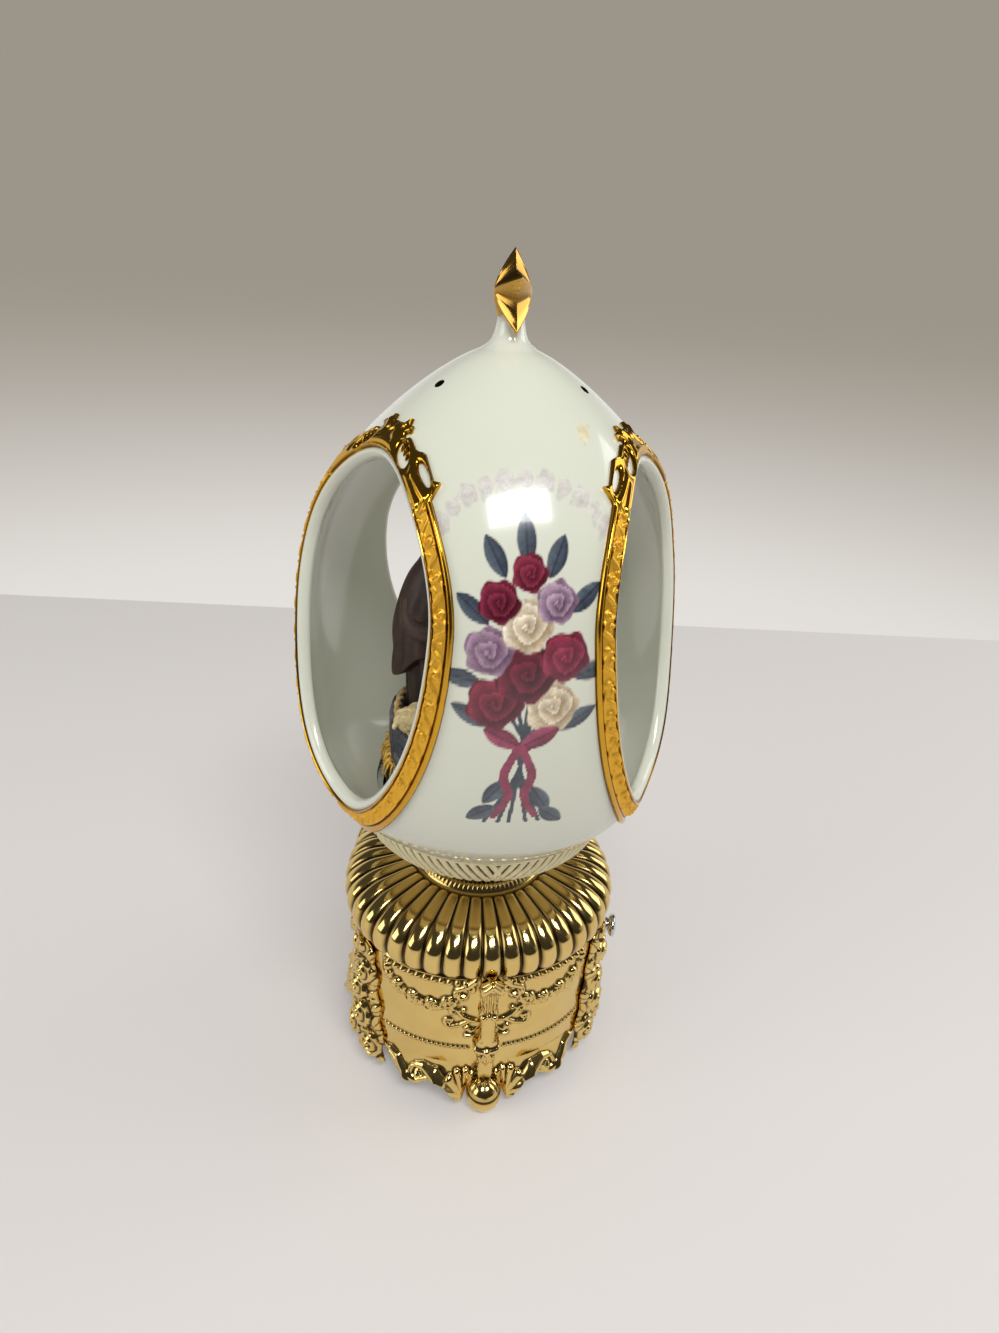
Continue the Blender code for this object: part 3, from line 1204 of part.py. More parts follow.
def make_stop(chrome, steel):
    """Chrome knob on the wall and the rod that reaches the fly."""
    knob_base = wall_radius(KNOB_AZIMUTH) + GAP + STOP_TRAVEL
    profile = [(KNOB_RADIUS * reach, KNOB_LENGTH * share) for reach, share in KNOB_PROFILE]
    bore = ROD_RADIUS + GAP
    profile += [(bore, 0), (bore, KNOB_BORE_SHARE * KNOB_LENGTH), (0, KNOB_BORE_SHARE * KNOB_LENGTH)]
    knob = turned("stop_knob", profile, 16, chrome)
    outward = polar(KNOB_AZIMUTH, 1.0, 0.0)
    knob.rotation_mode = "QUATERNION"
    knob.rotation_quaternion = outward.to_track_quat("Z", "Y")
    knob.location = polar(KNOB_AZIMUTH, knob_base, KNOB_Z)
    thin = 0.6 * ROD_RADIUS
    beside = FLY_SPAN / 2 + thin + GAP
    angle = math.radians(ROD_TIP_ANGLE)
    stopped = Vector((WORM_X + beside * math.cos(angle), worm_y + beside * math.sin(angle), ROD_TIP_Z))
    tip = stopped + STOP_TRAVEL * outward
    path = [
        polar(KNOB_AZIMUTH, knob_base + KNOB_BORE_SHARE * KNOB_LENGTH - GAP, KNOB_Z),
        polar(KNOB_AZIMUTH, WALL_RADIUS - 12.4 * MM, KNOB_Z),
        tip + Vector((-0.4, 3.6, 0.9)) * MM,
        tip,
    ]
    rings = []
    for i, point in enumerate(path):
        along = path[min(i + 1, 3)] - path[max(i - 1, 0)]
        turn = along.to_track_quat("Z", "Y")
        radius = ROD_RADIUS if i < 2 else thin
        rings.append([point + turn @ Vector((x, y, 0)) for x, y in circle(radius, 8)])
    lofted("stop_rod", rings, steel)


def make_ground(stone, tool_stuff):
    """Straw covered ground with a low curved stone wall on the turntable."""
    rings = []
    levels = ((0.0, 1.0), (0.45, 0.99), (0.8, 0.9), (1.0, 0.62))
    for rise, share in levels:
        ring = []
        for i in range(20):
            azimuth = 18 * i
            lump = 1 - 0.03 * (1 + math.cos(math.radians(5 * azimuth))) * rise
            ring.append(polar(azimuth, GROUND_RADIUS * share * lump, ground_bottom + GROUND_HEIGHT * rise))
        rings.append(ring)
    ground = lofted("figure_ground", rings, stone, 60)
    inner = []
    outer = []
    reach = GROUND_RADIUS - STONE_WALL_INSET
    for azimuth in range(STONE_WALL_SPAN[0], STONE_WALL_SPAN[1] + 1, 12):
        inner.append(polar(azimuth, reach - STONE_WALL_THICKNESS, 0).xy)
        outer.append(polar(azimuth, reach, 0).xy)
    low = ground_bottom + 1 * MM
    high = ground_bottom + STONE_WALL_HEIGHT
    wall = plate("stone_wall_tool", inner + outer[::-1], [], low, high, tool_stuff)
    boolean(ground, wall, "UNION")
    return ground


def make_shepherd(cloth):
    """Robed and hooded shepherd as one casting."""
    x0, y0 = (value * MM for value in SHEPHERD_PLACE)
    rings = []
    for height, half_width, half_depth in ROBE:
        lean = SHEPHERD_LEAN * max(0.0, min(1.0, (height - 12) / 36))
        x_middle = x0 - lean
        z = ground_top + GAP + height * MM
        rings.append([
            (x_middle + x * 0.9 * half_width * MM, y0 + y * half_depth * MM, z) for x, y in circle(1.0, 14)
        ])
    top = rings[-1]
    middle_x = sum(p[0] for p in top) / len(top)
    middle_y = sum(p[1] for p in top) / len(top)
    bm = bmesh.new()
    made = skin(bm, rings + [[(middle_x, middle_y, ground_top + GAP + HOOD_TOP)]])
    bm.faces.new(made[0])
    return finish("shepherd_figure", bm, cloth, 60)


def make_lamb(name, centre, azimuth, wool, tool_stuff):
    """Lying lamb: a woolly body with its head raised at one end."""
    half = LAMB_LENGTH / 2
    body = []
    for i in range(7):
        share = -1 + 2 * i / 6
        size = math.sqrt(max(0.0, 1 - (0.93 * share) ** 2)) * 3.6 * MM
        body.append([(half * share, size * y, size * (z + 0.2)) for y, z in circle(1.0, 10)])
    lamb = lofted(name, body, wool, 60)
    neck = []
    for along, lift, size in LAMB_NECK:
        ring_centre = Vector((half * along, 0, lift * MM))
        ring = []
        for y, z in circle(size * MM, 8):
            tilt = 0.6 if along < 0.9 else -0.2
            ring.append((ring_centre.x - z * tilt, y, ring_centre.z + z * 0.8))
        neck.append(ring)
    head = lofted(name + "_head_tool", neck, tool_stuff)
    for piece in (lamb, head):
        piece.location = centre
        piece.rotation_euler = (0, 0, math.radians(azimuth))
    boolean(lamb, head, "UNION")
    return lamb


def make_figures(cloth, wool, wood, tool_stuff):
    """Shepherd, two lambs and the shepherd's staff."""
    make_shepherd(cloth)
    wall_top = ground_bottom + STONE_WALL_HEIGHT
    middle = GROUND_RADIUS - STONE_WALL_INSET - STONE_WALL_THICKNESS / 2
    rest = 3.0 * MM
    make_lamb("lamb_1", polar(-60, middle - 1.0 * MM, wall_top + rest), 30, wool, tool_stuff)
    make_lamb("lamb_2", polar(75, 15.5 * MM, ground_top + rest), 35, wool, tool_stuff)
    foot = Vector((0.5 * MM, -7.5 * MM, ground_top + GAP))
    rod("shepherd_staff", (foot, foot + Vector((-1.0 * MM, 0, STAFF_HEIGHT))), STAFF_RADIUS, 8, wood)


def main():
    start_scene()
    gilt = material("gilt_brass", (0.78, 0.56, 0.20), 0.22, 1.0)
    trim_gold = material("trim_gold", (0.80, 0.55, 0.10), 0.30, 1.0)
    porcelain = material("glazed_porcelain", (0.80, 0.80, 0.70), 0.12)
    laurel = material("cream_laurel", (0.80, 0.76, 0.55), 0.25, 0.4)
    chrome = material("chrome", (0.75, 0.77, 0.80), 0.08, 1.0)
    steel = material("steel", (0.55, 0.55, 0.56), 0.30, 1.0)
    brass = material("movement_brass", (0.72, 0.55, 0.25), 0.30, 1.0)
    zinc = material("cast_zinc", (0.60, 0.61, 0.62), 0.45, 1.0)
    wood = material("turntable_wood", (0.35, 0.22, 0.12), 0.60)
    stone = material("resin_stone", (0.22, 0.22, 0.23), 0.75)
    cloth = material("resin_robe", (0.10, 0.05, 0.035), 0.60)
    wool = material("resin_wool", (0.62, 0.50, 0.30), 0.70)
    tool_stuff = material("tool", (0.5, 0.5, 0.5), 0.5)

    make_base(gilt, tool_stuff)
    make_pilasters(gilt)
    make_bouquets(gilt)
    make_cup(laurel)
    make_egg(porcelain, tool_stuff)
    make_trims(trim_gold)
    make_star(trim_gold, tool_stuff)
    make_bottom_plate(steel)
    make_screws(steel)
    make_bed(zinc, tool_stuff)
    make_winding(steel, brass, tool_stuff)
    make_barrel(brass, steel, tool_stuff)
    make_shaft_group(brass, steel, wood)
    make_cylinder(brass, steel)
    make_brackets(zinc)
    make_comb(steel, zinc)
    make_governor(brass, steel, zinc, tool_stuff)
    make_stop(chrome, steel)
    make_ground(stone, tool_stuff)
    make_figures(cloth, wool, wood, tool_stuff)

    axis = bpy.data.objects.new("egg_axis", None)
    axis.location = (0.0, AXIS_SETBACK, 0.0)
    for piece in list(bpy.context.scene.objects):
        piece.parent = axis
    bpy.context.scene.collection.objects.link(axis)


main()
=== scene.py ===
import math

import bmesh
import bpy
import numpy as np
from mathutils import Matrix, Vector


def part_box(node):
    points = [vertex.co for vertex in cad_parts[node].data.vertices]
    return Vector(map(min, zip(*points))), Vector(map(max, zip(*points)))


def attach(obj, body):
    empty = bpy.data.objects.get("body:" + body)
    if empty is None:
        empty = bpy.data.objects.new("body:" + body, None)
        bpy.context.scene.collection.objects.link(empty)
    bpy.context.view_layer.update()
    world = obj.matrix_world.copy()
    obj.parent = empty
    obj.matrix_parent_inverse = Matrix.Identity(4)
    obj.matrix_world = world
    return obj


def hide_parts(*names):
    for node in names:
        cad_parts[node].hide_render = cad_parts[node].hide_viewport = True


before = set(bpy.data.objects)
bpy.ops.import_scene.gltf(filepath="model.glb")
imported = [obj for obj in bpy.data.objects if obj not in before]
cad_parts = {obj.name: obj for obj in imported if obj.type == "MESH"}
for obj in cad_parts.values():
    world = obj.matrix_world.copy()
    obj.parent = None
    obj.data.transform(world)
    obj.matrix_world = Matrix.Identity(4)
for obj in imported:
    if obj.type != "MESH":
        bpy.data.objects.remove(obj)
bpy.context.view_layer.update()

# Camera close in front of one corner of the base, a little above the egg, with the picture turned
# by a few degrees. The lens is a phone's wide one.
bpy.context.scene.view_settings.view_transform = "Standard"
camera_data = bpy.data.cameras.new("camera")
camera = bpy.data.objects.new("camera", camera_data)
bpy.context.scene.collection.objects.link(camera)
bpy.context.scene.camera = camera
camera_data.sensor_width = 36.0
camera_data.lens = 20.23
camera_data.shift_x = 0.0039
camera_data.shift_y = -0.0503
camera_data.clip_start = 0.01
low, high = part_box("turntable")
turning_axis = (low + high) / 2
CAMERA_AZIMUTH, CAMERA_ELEVATION, CAMERA_ROLL = (math.radians(a) for a in (-8.0, 22.97, 3.446))
CAMERA_DISTANCE, AIM_Z = 0.1836, 0.1328
aim = Vector((turning_axis.x, turning_axis.y, AIM_Z))
away = Vector((
    math.sin(CAMERA_AZIMUTH) * math.cos(CAMERA_ELEVATION),
    -math.cos(CAMERA_AZIMUTH) * math.cos(CAMERA_ELEVATION),
    math.sin(CAMERA_ELEVATION),
))
rightwards = Vector((math.cos(CAMERA_AZIMUTH), math.sin(CAMERA_AZIMUTH), 0))
upwards = away.cross(rightwards)
turned_right = math.cos(CAMERA_ROLL) * rightwards + math.sin(CAMERA_ROLL) * upwards
turned_up = math.cos(CAMERA_ROLL) * upwards - math.sin(CAMERA_ROLL) * rightwards
camera.matrix_world = Matrix.Translation(aim + CAMERA_DISTANCE * away) @ Matrix(
    (turned_right, turned_up, away)
).transposed().to_4x4()

# Floor and lights. A pale table top that ends close behind the object, a pale wall that darkens
# upwards, one wide lamp over the front, and two weaker ones at the sides.


def colour(text):
    """Linear colour with alpha from an sRGB hex value."""
    parts = [int(text[i:i + 2], 16) / 255 for i in (1, 3, 5)]
    return tuple(c / 12.92 if c <= 0.04045 else ((c + 0.055) / 1.055) ** 2.4 for c in parts) + (1.0,)


def fill(node, inputs):
    """Give a node's inputs plain values, or link outputs of other nodes to them."""
    for key, value in inputs.items():
        if isinstance(value, bpy.types.NodeSocket):
            node.id_data.links.new(value, node.inputs[key])
        else:
            node.inputs[key].default_value = value


def add(nodes, kind, inputs=None, out=0, **settings):
    """Add a node with its settings and inputs, and return one of its outputs."""
    node = nodes.new("ShaderNode" + kind)
    for name, value in settings.items():
        setattr(node, name, value)
    fill(node, inputs or {})
    return node.outputs[out]


def new_material(name, values):
    """Node material with plain values on its shader; gives its nodes and its shader too."""
    made = bpy.data.materials.new(name)
    made.use_nodes = True
    nodes = made.node_tree.nodes
    shader = nodes["Principled BSDF"]
    fill(shader, values)
    return made, nodes, shader


def round_axis(degrees):
    """Unit vectors outwards and sideways at an azimuth, which counts from the front."""
    a = math.radians(degrees)
    return np.array([math.sin(a), -math.cos(a), 0]), np.array([math.cos(a), math.sin(a), 0])


def make_object(name, points, faces, materials, body=None, node=None, values=None, crisp=0):
    """Object from points in millimetres about the turning axis, moved to that axis."""
    mesh = bpy.data.meshes.new(name)
    points = np.asarray(points, float).reshape(-1, 3) * 0.001
    points[:, :2] += (turning_axis.x, turning_axis.y)
    faces = np.asarray(faces, np.int32)
    mesh.vertices.add(len(points))
    mesh.vertices.foreach_set("co", points.astype(np.float32).ravel())
    mesh.loops.add(faces.size)
    mesh.loops.foreach_set("vertex_index", faces.ravel())
    mesh.polygons.add(len(faces))
    mesh.polygons.foreach_set("loop_start", np.arange(0, faces.size, faces.shape[1], dtype=np.int32))
    mesh.update(calc_edges=True)
    for key, numbers in (values or {}).items():
        numbers = np.asarray(numbers, np.float32)
        coloured = numbers.shape[-1] == 4
        layer = mesh.attributes.new(key, "FLOAT_COLOR" if coloured else "FLOAT", "POINT")
        layer.data.foreach_set("color" if coloured else "value", numbers.ravel())
    shell = bmesh.new()
    shell.from_mesh(mesh)
    bmesh.ops.remove_doubles(shell, verts=shell.verts, dist=1e-6)
    bmesh.ops.recalc_face_normals(shell, faces=shell.faces)
    shell.to_mesh(mesh)
    shell.free()
    mesh.shade_smooth()
    if crisp:
        mesh.set_sharp_from_angle(angle=math.radians(crisp))
    for one in materials:
        mesh.materials.append(one)
    made = bpy.data.objects.new(name, mesh)
    bpy.context.scene.collection.objects.link(made)
    if body:
        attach(made, body)
    if node:
        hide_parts(node)
    return made


def seen_rays(nodes):
    """Share of rays that come from the camera, a reflection or a clear material; and the ray's kinds."""
    rays = nodes.new("ShaderNodeLightPath").outputs
    total = add(nodes, "Math", {0: rays["Is Camera Ray"], 1: rays["Is Glossy Ray"]}, operation="ADD")
    total = add(nodes, "Math", {0: total, 1: rays["Is Transmission Ray"]}, operation="ADD", use_clamp=True)
    return total, rays


FLOOR_GLOW = 0.17
REACH, REAR, EDGE_TURN = 3000.0, 283.0, 173.9
floor_paint, nodes, shader = new_material("pale_table_top", {
    "Base Color": colour("#CCC8C5"), "Roughness": 0.6})
seen, rays = seen_rays(nodes)
glow = add(nodes, "Math", {0: seen, 1: FLOOR_GLOW}, operation="MULTIPLY")
fill(shader, {"Emission Color": colour("#F2EEEA"), "Emission Strength": glow})
backwards, along_edge = round_axis(EDGE_TURN)
corners = [REACH * side * along_edge + back * backwards
           for side, back in ((1, -REACH), (-1, -REACH), (-1, REAR), (1, REAR))]
table = make_object("table", corners, [(0, 1, 2, 3)], [floor_paint])

world = bpy.data.worlds.new("pale_room")
bpy.context.scene.world = world
world.use_nodes = True
nodes = world.node_tree.nodes
seen, rays = seen_rays(nodes)
direction = add(nodes, "TexCoord", out="Generated")
split = nodes.new("ShaderNodeSeparateXYZ")
fill(split, {0: direction})
# Reflections see a dark ceiling and a dark side towards the camera, as in a dim room
ceiling = add(nodes, "MapRange", {0: split.outputs[2], 1: 0.1, 2: 0.42, 3: 0.85, 4: 0.07})
dim_side = add(nodes, "MapRange", {0: split.outputs[1], 1: -0.62, 2: 0.02, 3: 0.05, 4: 0.85})
dimmer = add(nodes, "Math", {0: ceiling, 1: dim_side}, operation="MINIMUM")
sight = add(nodes, "Mix", {0: rays["Is Camera Ray"], 2: dimmer, 3: 1.0})
# The wall behind the table grows darker upwards
climb = add(nodes, "MapRange", {0: split.outputs[2], 1: -0.40, 2: 0.0}, interpolation_type="SMOOTHSTEP")
wall_colour = add(nodes, "Mix", {0: climb, 6: colour("#E4E0DB"), 7: colour("#9C9589")}, 2, data_type="RGBA")
room = add(nodes, "Mix", {0: rays["Is Camera Ray"], 6: colour("#F4F2F0"), 7: wall_colour}, 2,
           data_type="RGBA")
amount = add(nodes, "Mix", {0: seen, 2: 0.5, 3: sight})
fill(nodes["Background"], {"Color": room, "Strength": amount})


LAMPS_AIM = Vector((0, 0, 0.11))


def lamp(name, place, width, height, power):
    """Flat lamp that faces the middle of the object."""
    data = bpy.data.lights.new(name, "AREA")
    data.energy = power
    data.shape = "RECTANGLE"
    data.size = width
    data.size_y = height
    made = bpy.data.objects.new(name, data)
    bpy.context.scene.collection.objects.link(made)
    made.location = place
    made.rotation_mode = "QUATERNION"
    made.rotation_quaternion = (Vector(place) - LAMPS_AIM).to_track_quat("Z", "Y")


lamp("lamp_over_front", (0.07, -0.42, 0.75), 0.42, 0.16, 3.2)
lamp("lamp_left", (-0.8, -0.25, 0.45), 0.5, 0.5, 1.8)
lamp("lamp_right", (0.8, 0.1, 0.5), 0.5, 0.5, 1.8)

# Gilt base. A hollow zinc casting, plated in brass and polished, with a gadrooned top, a drum with
# cast garlands, bead rows and scrolls, and a scalloped skirt. Its hollows are darkened by a patina and by
# painted shade.
# It is worked out for half of one side, from its corner to its middle, and repeated six times.
HALF = 180
COLUMNS = 6 * HALF
column = np.arange(COLUMNS)
azimuth = column / COLUMNS * 360.0
place_in_half = HALF - np.abs(HALF - column % (2 * HALF))
half_azimuth = np.arange(HALF + 1) / HALF * 60.0
WALL, BULGE = 35.0, 0.03
wall = WALL * (1 - BULGE * np.cos(np.radians(3 * half_azimuth)))
across = np.radians(half_azimuth) * WALL
DRUM_TOP, SKIRT_TOP = 44.6, 13.6


def ridge(u, z, path):
    """Height of a rounded line through points of place across, place up and half width."""
    out = np.zeros(np.broadcast(u, z).shape)
    for (a0, b0, r0), (a1, b1, r1) in zip(path, path[1:] + path[-1:]):
        du, dz = a1 - a0, b1 - b0
        t = np.clip(((u - a0) * du + (z - b0) * dz) / max(du * du + dz * dz, 1e-9), 0, 1)
        r = r0 + (r1 - r0) * t
        q = 1 - ((u - a0 - t * du) ** 2 + (z - b0 - t * dz) ** 2) / np.maximum(r * r, 1e-6)
        out = np.maximum(out, r * np.sqrt(np.clip(q, 0, None)))
    return out


def ridges(u, z, paths):
    """Greatest height of several rounded lines."""
    return np.maximum.reduce([ridge(u, z, path) for path in paths])


def curl(a, b, start, turns, size, width, count=14):
    """Points of a spiral that winds inwards to its eye, which is a small ball."""
    points = []
    for i in range(count + 1):
        share = i / count
        angle = math.radians(start) + math.tau * turns * share
        reach = size * (1 - 0.8 * share)
        points.append((a + reach * math.cos(angle), b + reach * math.sin(angle), width * (1 - 0.35 * share)))
    return points + [(a, b, 1.25 * width)]


def along_leaf(u, z, a, b, turn, length, width):
    """Place along and across a leaf that starts at a point, as shares of its length and width."""
    c, s = math.cos(math.radians(turn)), math.sin(math.radians(turn))
    return ((u - a) * c + (z - b) * s) / length, ((z - b) * c - (u - a) * s) / width


def leaf(u, z, a, b, turn, length, width, rise=0.8):
    """Height of a pointed leaf with a sunken midrib."""
    x, y = along_leaf(u, z, a, b, turn, length, width)
    half = np.sin(np.pi * np.clip(x, 0, 1)) ** 0.8
    q = np.clip(1 - (y / np.maximum(half, 1e-3)) ** 2, 0, None)
    height = np.where((x > 0) & (x < 1), width * rise * half * np.sqrt(q), 0)
    return height * (1 - 0.4 * np.exp(-(y / 0.17) ** 2))


def rose(u, z, a, b, radius):
    """Height of an open rose whose petals wind round its middle."""
    x, y = (u - a) / radius, (z - b) / radius
    q = np.hypot(x, y)
    angle = np.arctan2(y, x)
    dome = np.sqrt(np.clip(1 - (q / (1 + 0.09 * np.cos(5 * angle))) ** 2, 0, None))
    wind = 0.5 + 0.5 * np.cos(math.tau * (2.4 * q - angle / math.tau))
    return 0.62 * radius * dome ** 0.7 * (0.62 + 0.38 * wind)


def beads(u, z, start, end, level, spacing, radius):
    """Height of a row of round beads at one level."""
    nearest = start + spacing * np.clip(np.round((u - start) / spacing), 0, round((end - start) / spacing))
    q = 1 - ((u - nearest) ** 2 + (z - level) ** 2) / radius ** 2
    return radius * np.sqrt(np.clip(q, 0, None))


def hollows(field, cells, depth):
    """How far each place lies in a hollow: 1 where it is that much lower than all around it."""
    blurred = field
    for direction in (0, 1):
        total = sum(np.roll(blurred, shift, direction) for shift in range(-cells, cells + 1))
        blurred = total / (2 * cells + 1)
    return np.clip((blurred - field) / depth, 0, 1)


SWAG = [(31.0, 42.5), (27.5, 38.6), (23.5, 35.8), (18.5, 34.2), (13.5, 34.0), (9.5, 36.0), (6.4, 40.0)]
CORNER_SCROLLS = [
    [(2.2, 29.6, 0.65), (4.6, 30.2, 0.65), (6.6, 31.3, 0.7), (8.0, 33.0, 0.55)],
    curl(9.0, 32.2, 150, -0.8, 1.5, 0.5),
    [(4.6, 29.8, 0.6), (7.0, 28.2, 0.65), (9.4, 27.3, 0.6)],
    curl(9.9, 29.0, -110, 0.9, 1.9, 0.6),
    [(2.4, 27.2, 0.5), (4.4, 26.0, 0.6), (5.4, 27.2, 0.8)],
    [(3.0, 24.6, 0.45), (5.2, 24.2, 0.85)],
    [(6.4, 33.6, 0.75)],
]
SKIRT_SCROLLS = [
    [(9.4, 6.4, 0.7), (10.8, 8.8, 1.1), (13.2, 10.6, 1.4), (16.2, 11.1, 1.15), (18.2, 10.7, 0.8)],
    curl(17.6, 8.5, 75, -1.2, 2.3, 0.62),
    [(11.6, 6.8, 0.4), (13.4, 8.3, 0.5), (15.0, 8.8, 0.4)],
    [(19.8, 6.6, 1.0), (21.2, 8.6, 0.75), (23.8, 10.6, 1.0), (26.4, 11.4, 0.9), (29, 11.0, 0.6)],
    [(22.4, 8.0, 0.4), (24.6, 9.2, 0.5), (27.0, 9.4, 0.4)],
]
# The fan beside a ball foot: the turn and length of each rib from its hinge
FAN_HINGE = np.array([4.8, 3.2])
FAN = ((20, 5.2), (38, 7.0), (55, 8.2), (72, 8.8), (89, 8.6), (104, 7.4))


def drum_relief(u, z):
    """Height of the cast ornament on half of one side, from its corner to its middle."""
    heights = [1.2 * beads(u, z, 6.2, 29.5, 42.9, 2.1, 0.95), beads(u, z, 5.0, 29.4, 19.6, 1.3, 0.62),
               ridge(u, z, [(3.0, 44.2, 0.35), (30, 44.2, 0.35)]), 1.25 * ridges(u, z, CORNER_SCROLLS),
               1.5 * ridge(u, z, [(2.6, 45.2, 1.0), (5.2, 42.6, 1.0), (8.2, 41.0, 0.9)]),
               ridge(u, z, curl(5.0, 40.4, 60, 0.8, 1.6, 0.5)), 1.1 * ridges(u, z, SKIRT_SCROLLS)]
    for (a0, b0), (a1, b1) in zip(SWAG, SWAG[1:]):
        turn = math.degrees(math.atan2(b1 - b0, a1 - a0))
        a2, b2 = 0.7 * a0 + 0.3 * a1, 0.7 * b0 + 0.3 * b1
        heights += [leaf(u, z, a2, b2, turn + lean, 3.6, 1.15, 1.1) for lean in (-32, 32)]
        heights += [1.2 * rose(u, z, a0, b0, 1.7),
                    1.3 * ridge(u, z, [(0.45 * a0 + 0.55 * a1, 0.45 * b0 + 0.55 * b1, 0.85)])]
    for turn, length in FAN:
        rib = length * np.array([math.cos(math.radians(turn)), math.sin(math.radians(turn))])
        path = [(*(FAN_HINGE + share * rib), width) for share, width in ((0, 0.5), (0.55, 0.95), (0.9, 1.05))]
        heights.append(1.35 * ridge(u, z, path))
    return np.maximum.reduce(heights)


def spline(table, count):
    """Rows of values on a smooth line through a table's rows."""
    table = np.asarray(table, float)
    steps = np.linspace(0, len(table) - 1, count)
    i = np.clip(steps.astype(int), 0, len(table) - 2)
    t = (steps - i)[:, None]
    before = table[np.maximum(i - 1, 0)]
    first, second = table[i], table[i + 1]
    after = table[np.minimum(i + 2, len(table) - 1)]
    return 0.5 * (2 * first + (second - before) * t + (2 * before - 5 * first + 4 * second - after) * t ** 2
                  + (3 * first - before - 3 * second + after) * t ** 3)


def eased(value, start, end):
    """Smooth step from 0 at the start to 1 at the end."""
    t = np.clip((value - start) / (end - start), 0, 1)
    return t * t * (3 - 2 * t)


def bow(value):
    """Height of a round arch over a value from -1 to 1, 0 beyond it."""
    return np.sqrt(np.clip(1 - value ** 2, 0, 1))


# Scallops of the skirt: azimuth from the corner and height of its lower edge
EDGE = np.array([(0, 10.5), (4.6, 9.6), (6.4, 7.6), (7.8, 4.2), (9.4, 3.0), (11.4, 3.6), (14, 6.0), (17, 8.6),
                 (20, 9.6), (24, 8.8), (29, 6.4), (33, 7.2), (38, 8.6), (43, 7.6), (47, 9.5), (60, 9.5)])
edge = np.interp(half_azimuth, *EDGE.T)
for _ in range(2):
    edge = np.convolve(np.pad(edge, 2, mode="reflect"), np.ones(5) / 5, "valid")
flare = eased(half_azimuth, 7.4, 10) * (1 - eased(half_azimuth, 33, 46))
# Gadroons: how far they follow the plan, their place out from it, and their height
TOP_LINE = ((0, -15.0, 57.6), (0.1, -13.0, 57.9), (0.3, -9.0, 57.6), (0.6, -4.6, 57.0), (0.85, -1.2, 55.4),
            (1, 1.3, 53.2), (1, 2.3, 50.6), (1, 2.3, 48.2), (1, 1.7, 46.2), (1, 0.2, 44.9))
LOBE, LOBE_DEPTH = 8.0, 0.30
top_rows = spline(TOP_LINE, 72)
turn = (half_azimuth + LOBE / 2) % LOBE - LOBE / 2
swell = (1 - np.abs(turn / (LOBE / 2)) ** 2.2) ** 0.5
along = np.linspace(0, 1, 72)
ends = bow(np.clip(1 - along / 0.07, 0, 1)) * bow(np.clip((along - 0.9) / 0.1, 0, 1))
plan = top_rows[:, :1]
radius = plan * wall + (1 - plan) * WALL + top_rows[:, 1:2]
sunk = 1 - swell * ends[:, None]
drop = LOBE_DEPTH * np.radians(LOBE) * radius * sunk
slope_r = np.gradient(radius, axis=0)
slope_z = np.gradient(top_rows[:, 2])[:, None]
length = np.hypot(slope_r, slope_z)
top_r = radius + drop * slope_z / length
top_z = top_rows[:, 2:3] - drop * slope_r / length
# Painted shade, with the patina, in the grooves between the gadroons and at their ends
top_dark = np.clip(2.3 * sunk ** 1.35, 0, 1)
# The seat of the cup, with a ring of pearls round it
BORE = 4.3
SEAT = np.array([(BORE, 58.6), (10.0, 58.6), (16.9, 58.6), (17.1, 58.5), (17.6, 58.2), (18.1, 58.0),
                 (18.5, 57.6), (18.7, 57.2), (19.0, 57.0)])
seat_r, seat_z = (np.repeat(SEAT[:, i:i + 1], HALF + 1, 1) for i in (0, 1))
pearl = (half_azimuth / 4.0) % 1.0
seat_z[3:6] += bow((pearl - 0.5) / 0.46) * np.array([[0.3], [0.75], [0.3]])

wall_z = np.linspace(DRUM_TOP, SKIRT_TOP, 150)[:, None]
skirt_share = np.linspace(0, 1, 52)[1:, None]
skirt_z = SKIRT_TOP - skirt_share * (SKIRT_TOP - edge)
curve = 2.8 * flare * (1 - np.cos(skirt_share * np.pi / 2))
rim = 0.75 * bow((skirt_z - edge - 0.75) / 0.75) * (0.25 + 0.75 * flare)
outer_r = np.concatenate([wall + 0 * wall_z, wall + curve])
outer_z = np.concatenate([wall_z + 0 * wall, skirt_z])
outer_h = drum_relief(across + 0 * outer_z, outer_z)
outer_h[len(wall_z):] = np.maximum(outer_h[len(wall_z):], rim)
free = np.clip((across - 2.0) / 1.5, 0, 1) * np.clip((29.5 - across) / 1.5 + (outer_z > 45) * 9, 0, 1)
RELIEF_LIMIT = 2.4
outer_h = np.minimum(outer_h, RELIEF_LIMIT) * free
# A bracket stands out behind the head of each pilaster
outer_h = np.maximum(outer_h, 2.0 * eased(outer_z, 41.5, 43.5) * (1 - eased(across, 2.6, 4.2)))
# The hollow inside: the drum's lower edge, its wall and its ceiling
INSIDE, HOLLOW_TOP, CEILING = 1.6, 43.0, 55.9
level = 0 * wall[None, :]
base_r = np.concatenate([seat_r, top_r, outer_r + outer_h, outer_r[-1:] - 1.4, outer_r[:1] - INSIDE,
                         outer_r[:1] - INSIDE, BORE + level])
base_z = np.concatenate([seat_z, top_z, outer_z, outer_z[-1:] + 0.1, SKIRT_TOP + level, HOLLOW_TOP + level,
                         CEILING + level])
# Hollow shares of the base: a little painted shade on the seat under the cup, the gadroon grooves, patina
# with painted shade in the relief's hollows, and full painted shade over the inside of the hollow base
base_patina_and_shade = np.concatenate([0 * seat_r + 0.3, top_dark, hollows(outer_h, 4, 0.32), np.ones((4, HALF + 1))])


def wrap_faces(rows, columns, closed_rows=True, closed_columns=True):
    """Four cornered faces of a grid of points, closed in either direction."""
    r = np.arange(rows if closed_rows else rows - 1)
    c = np.arange(columns if closed_columns else columns - 1)
    r, c = np.meshgrid(r, c, indexing="ij")
    c1 = (c + 1) % columns
    here, above = r * columns, (r + 1) % rows * columns
    return np.stack([here + c, above + c, above + c1, here + c1], -1).reshape(-1, 4)


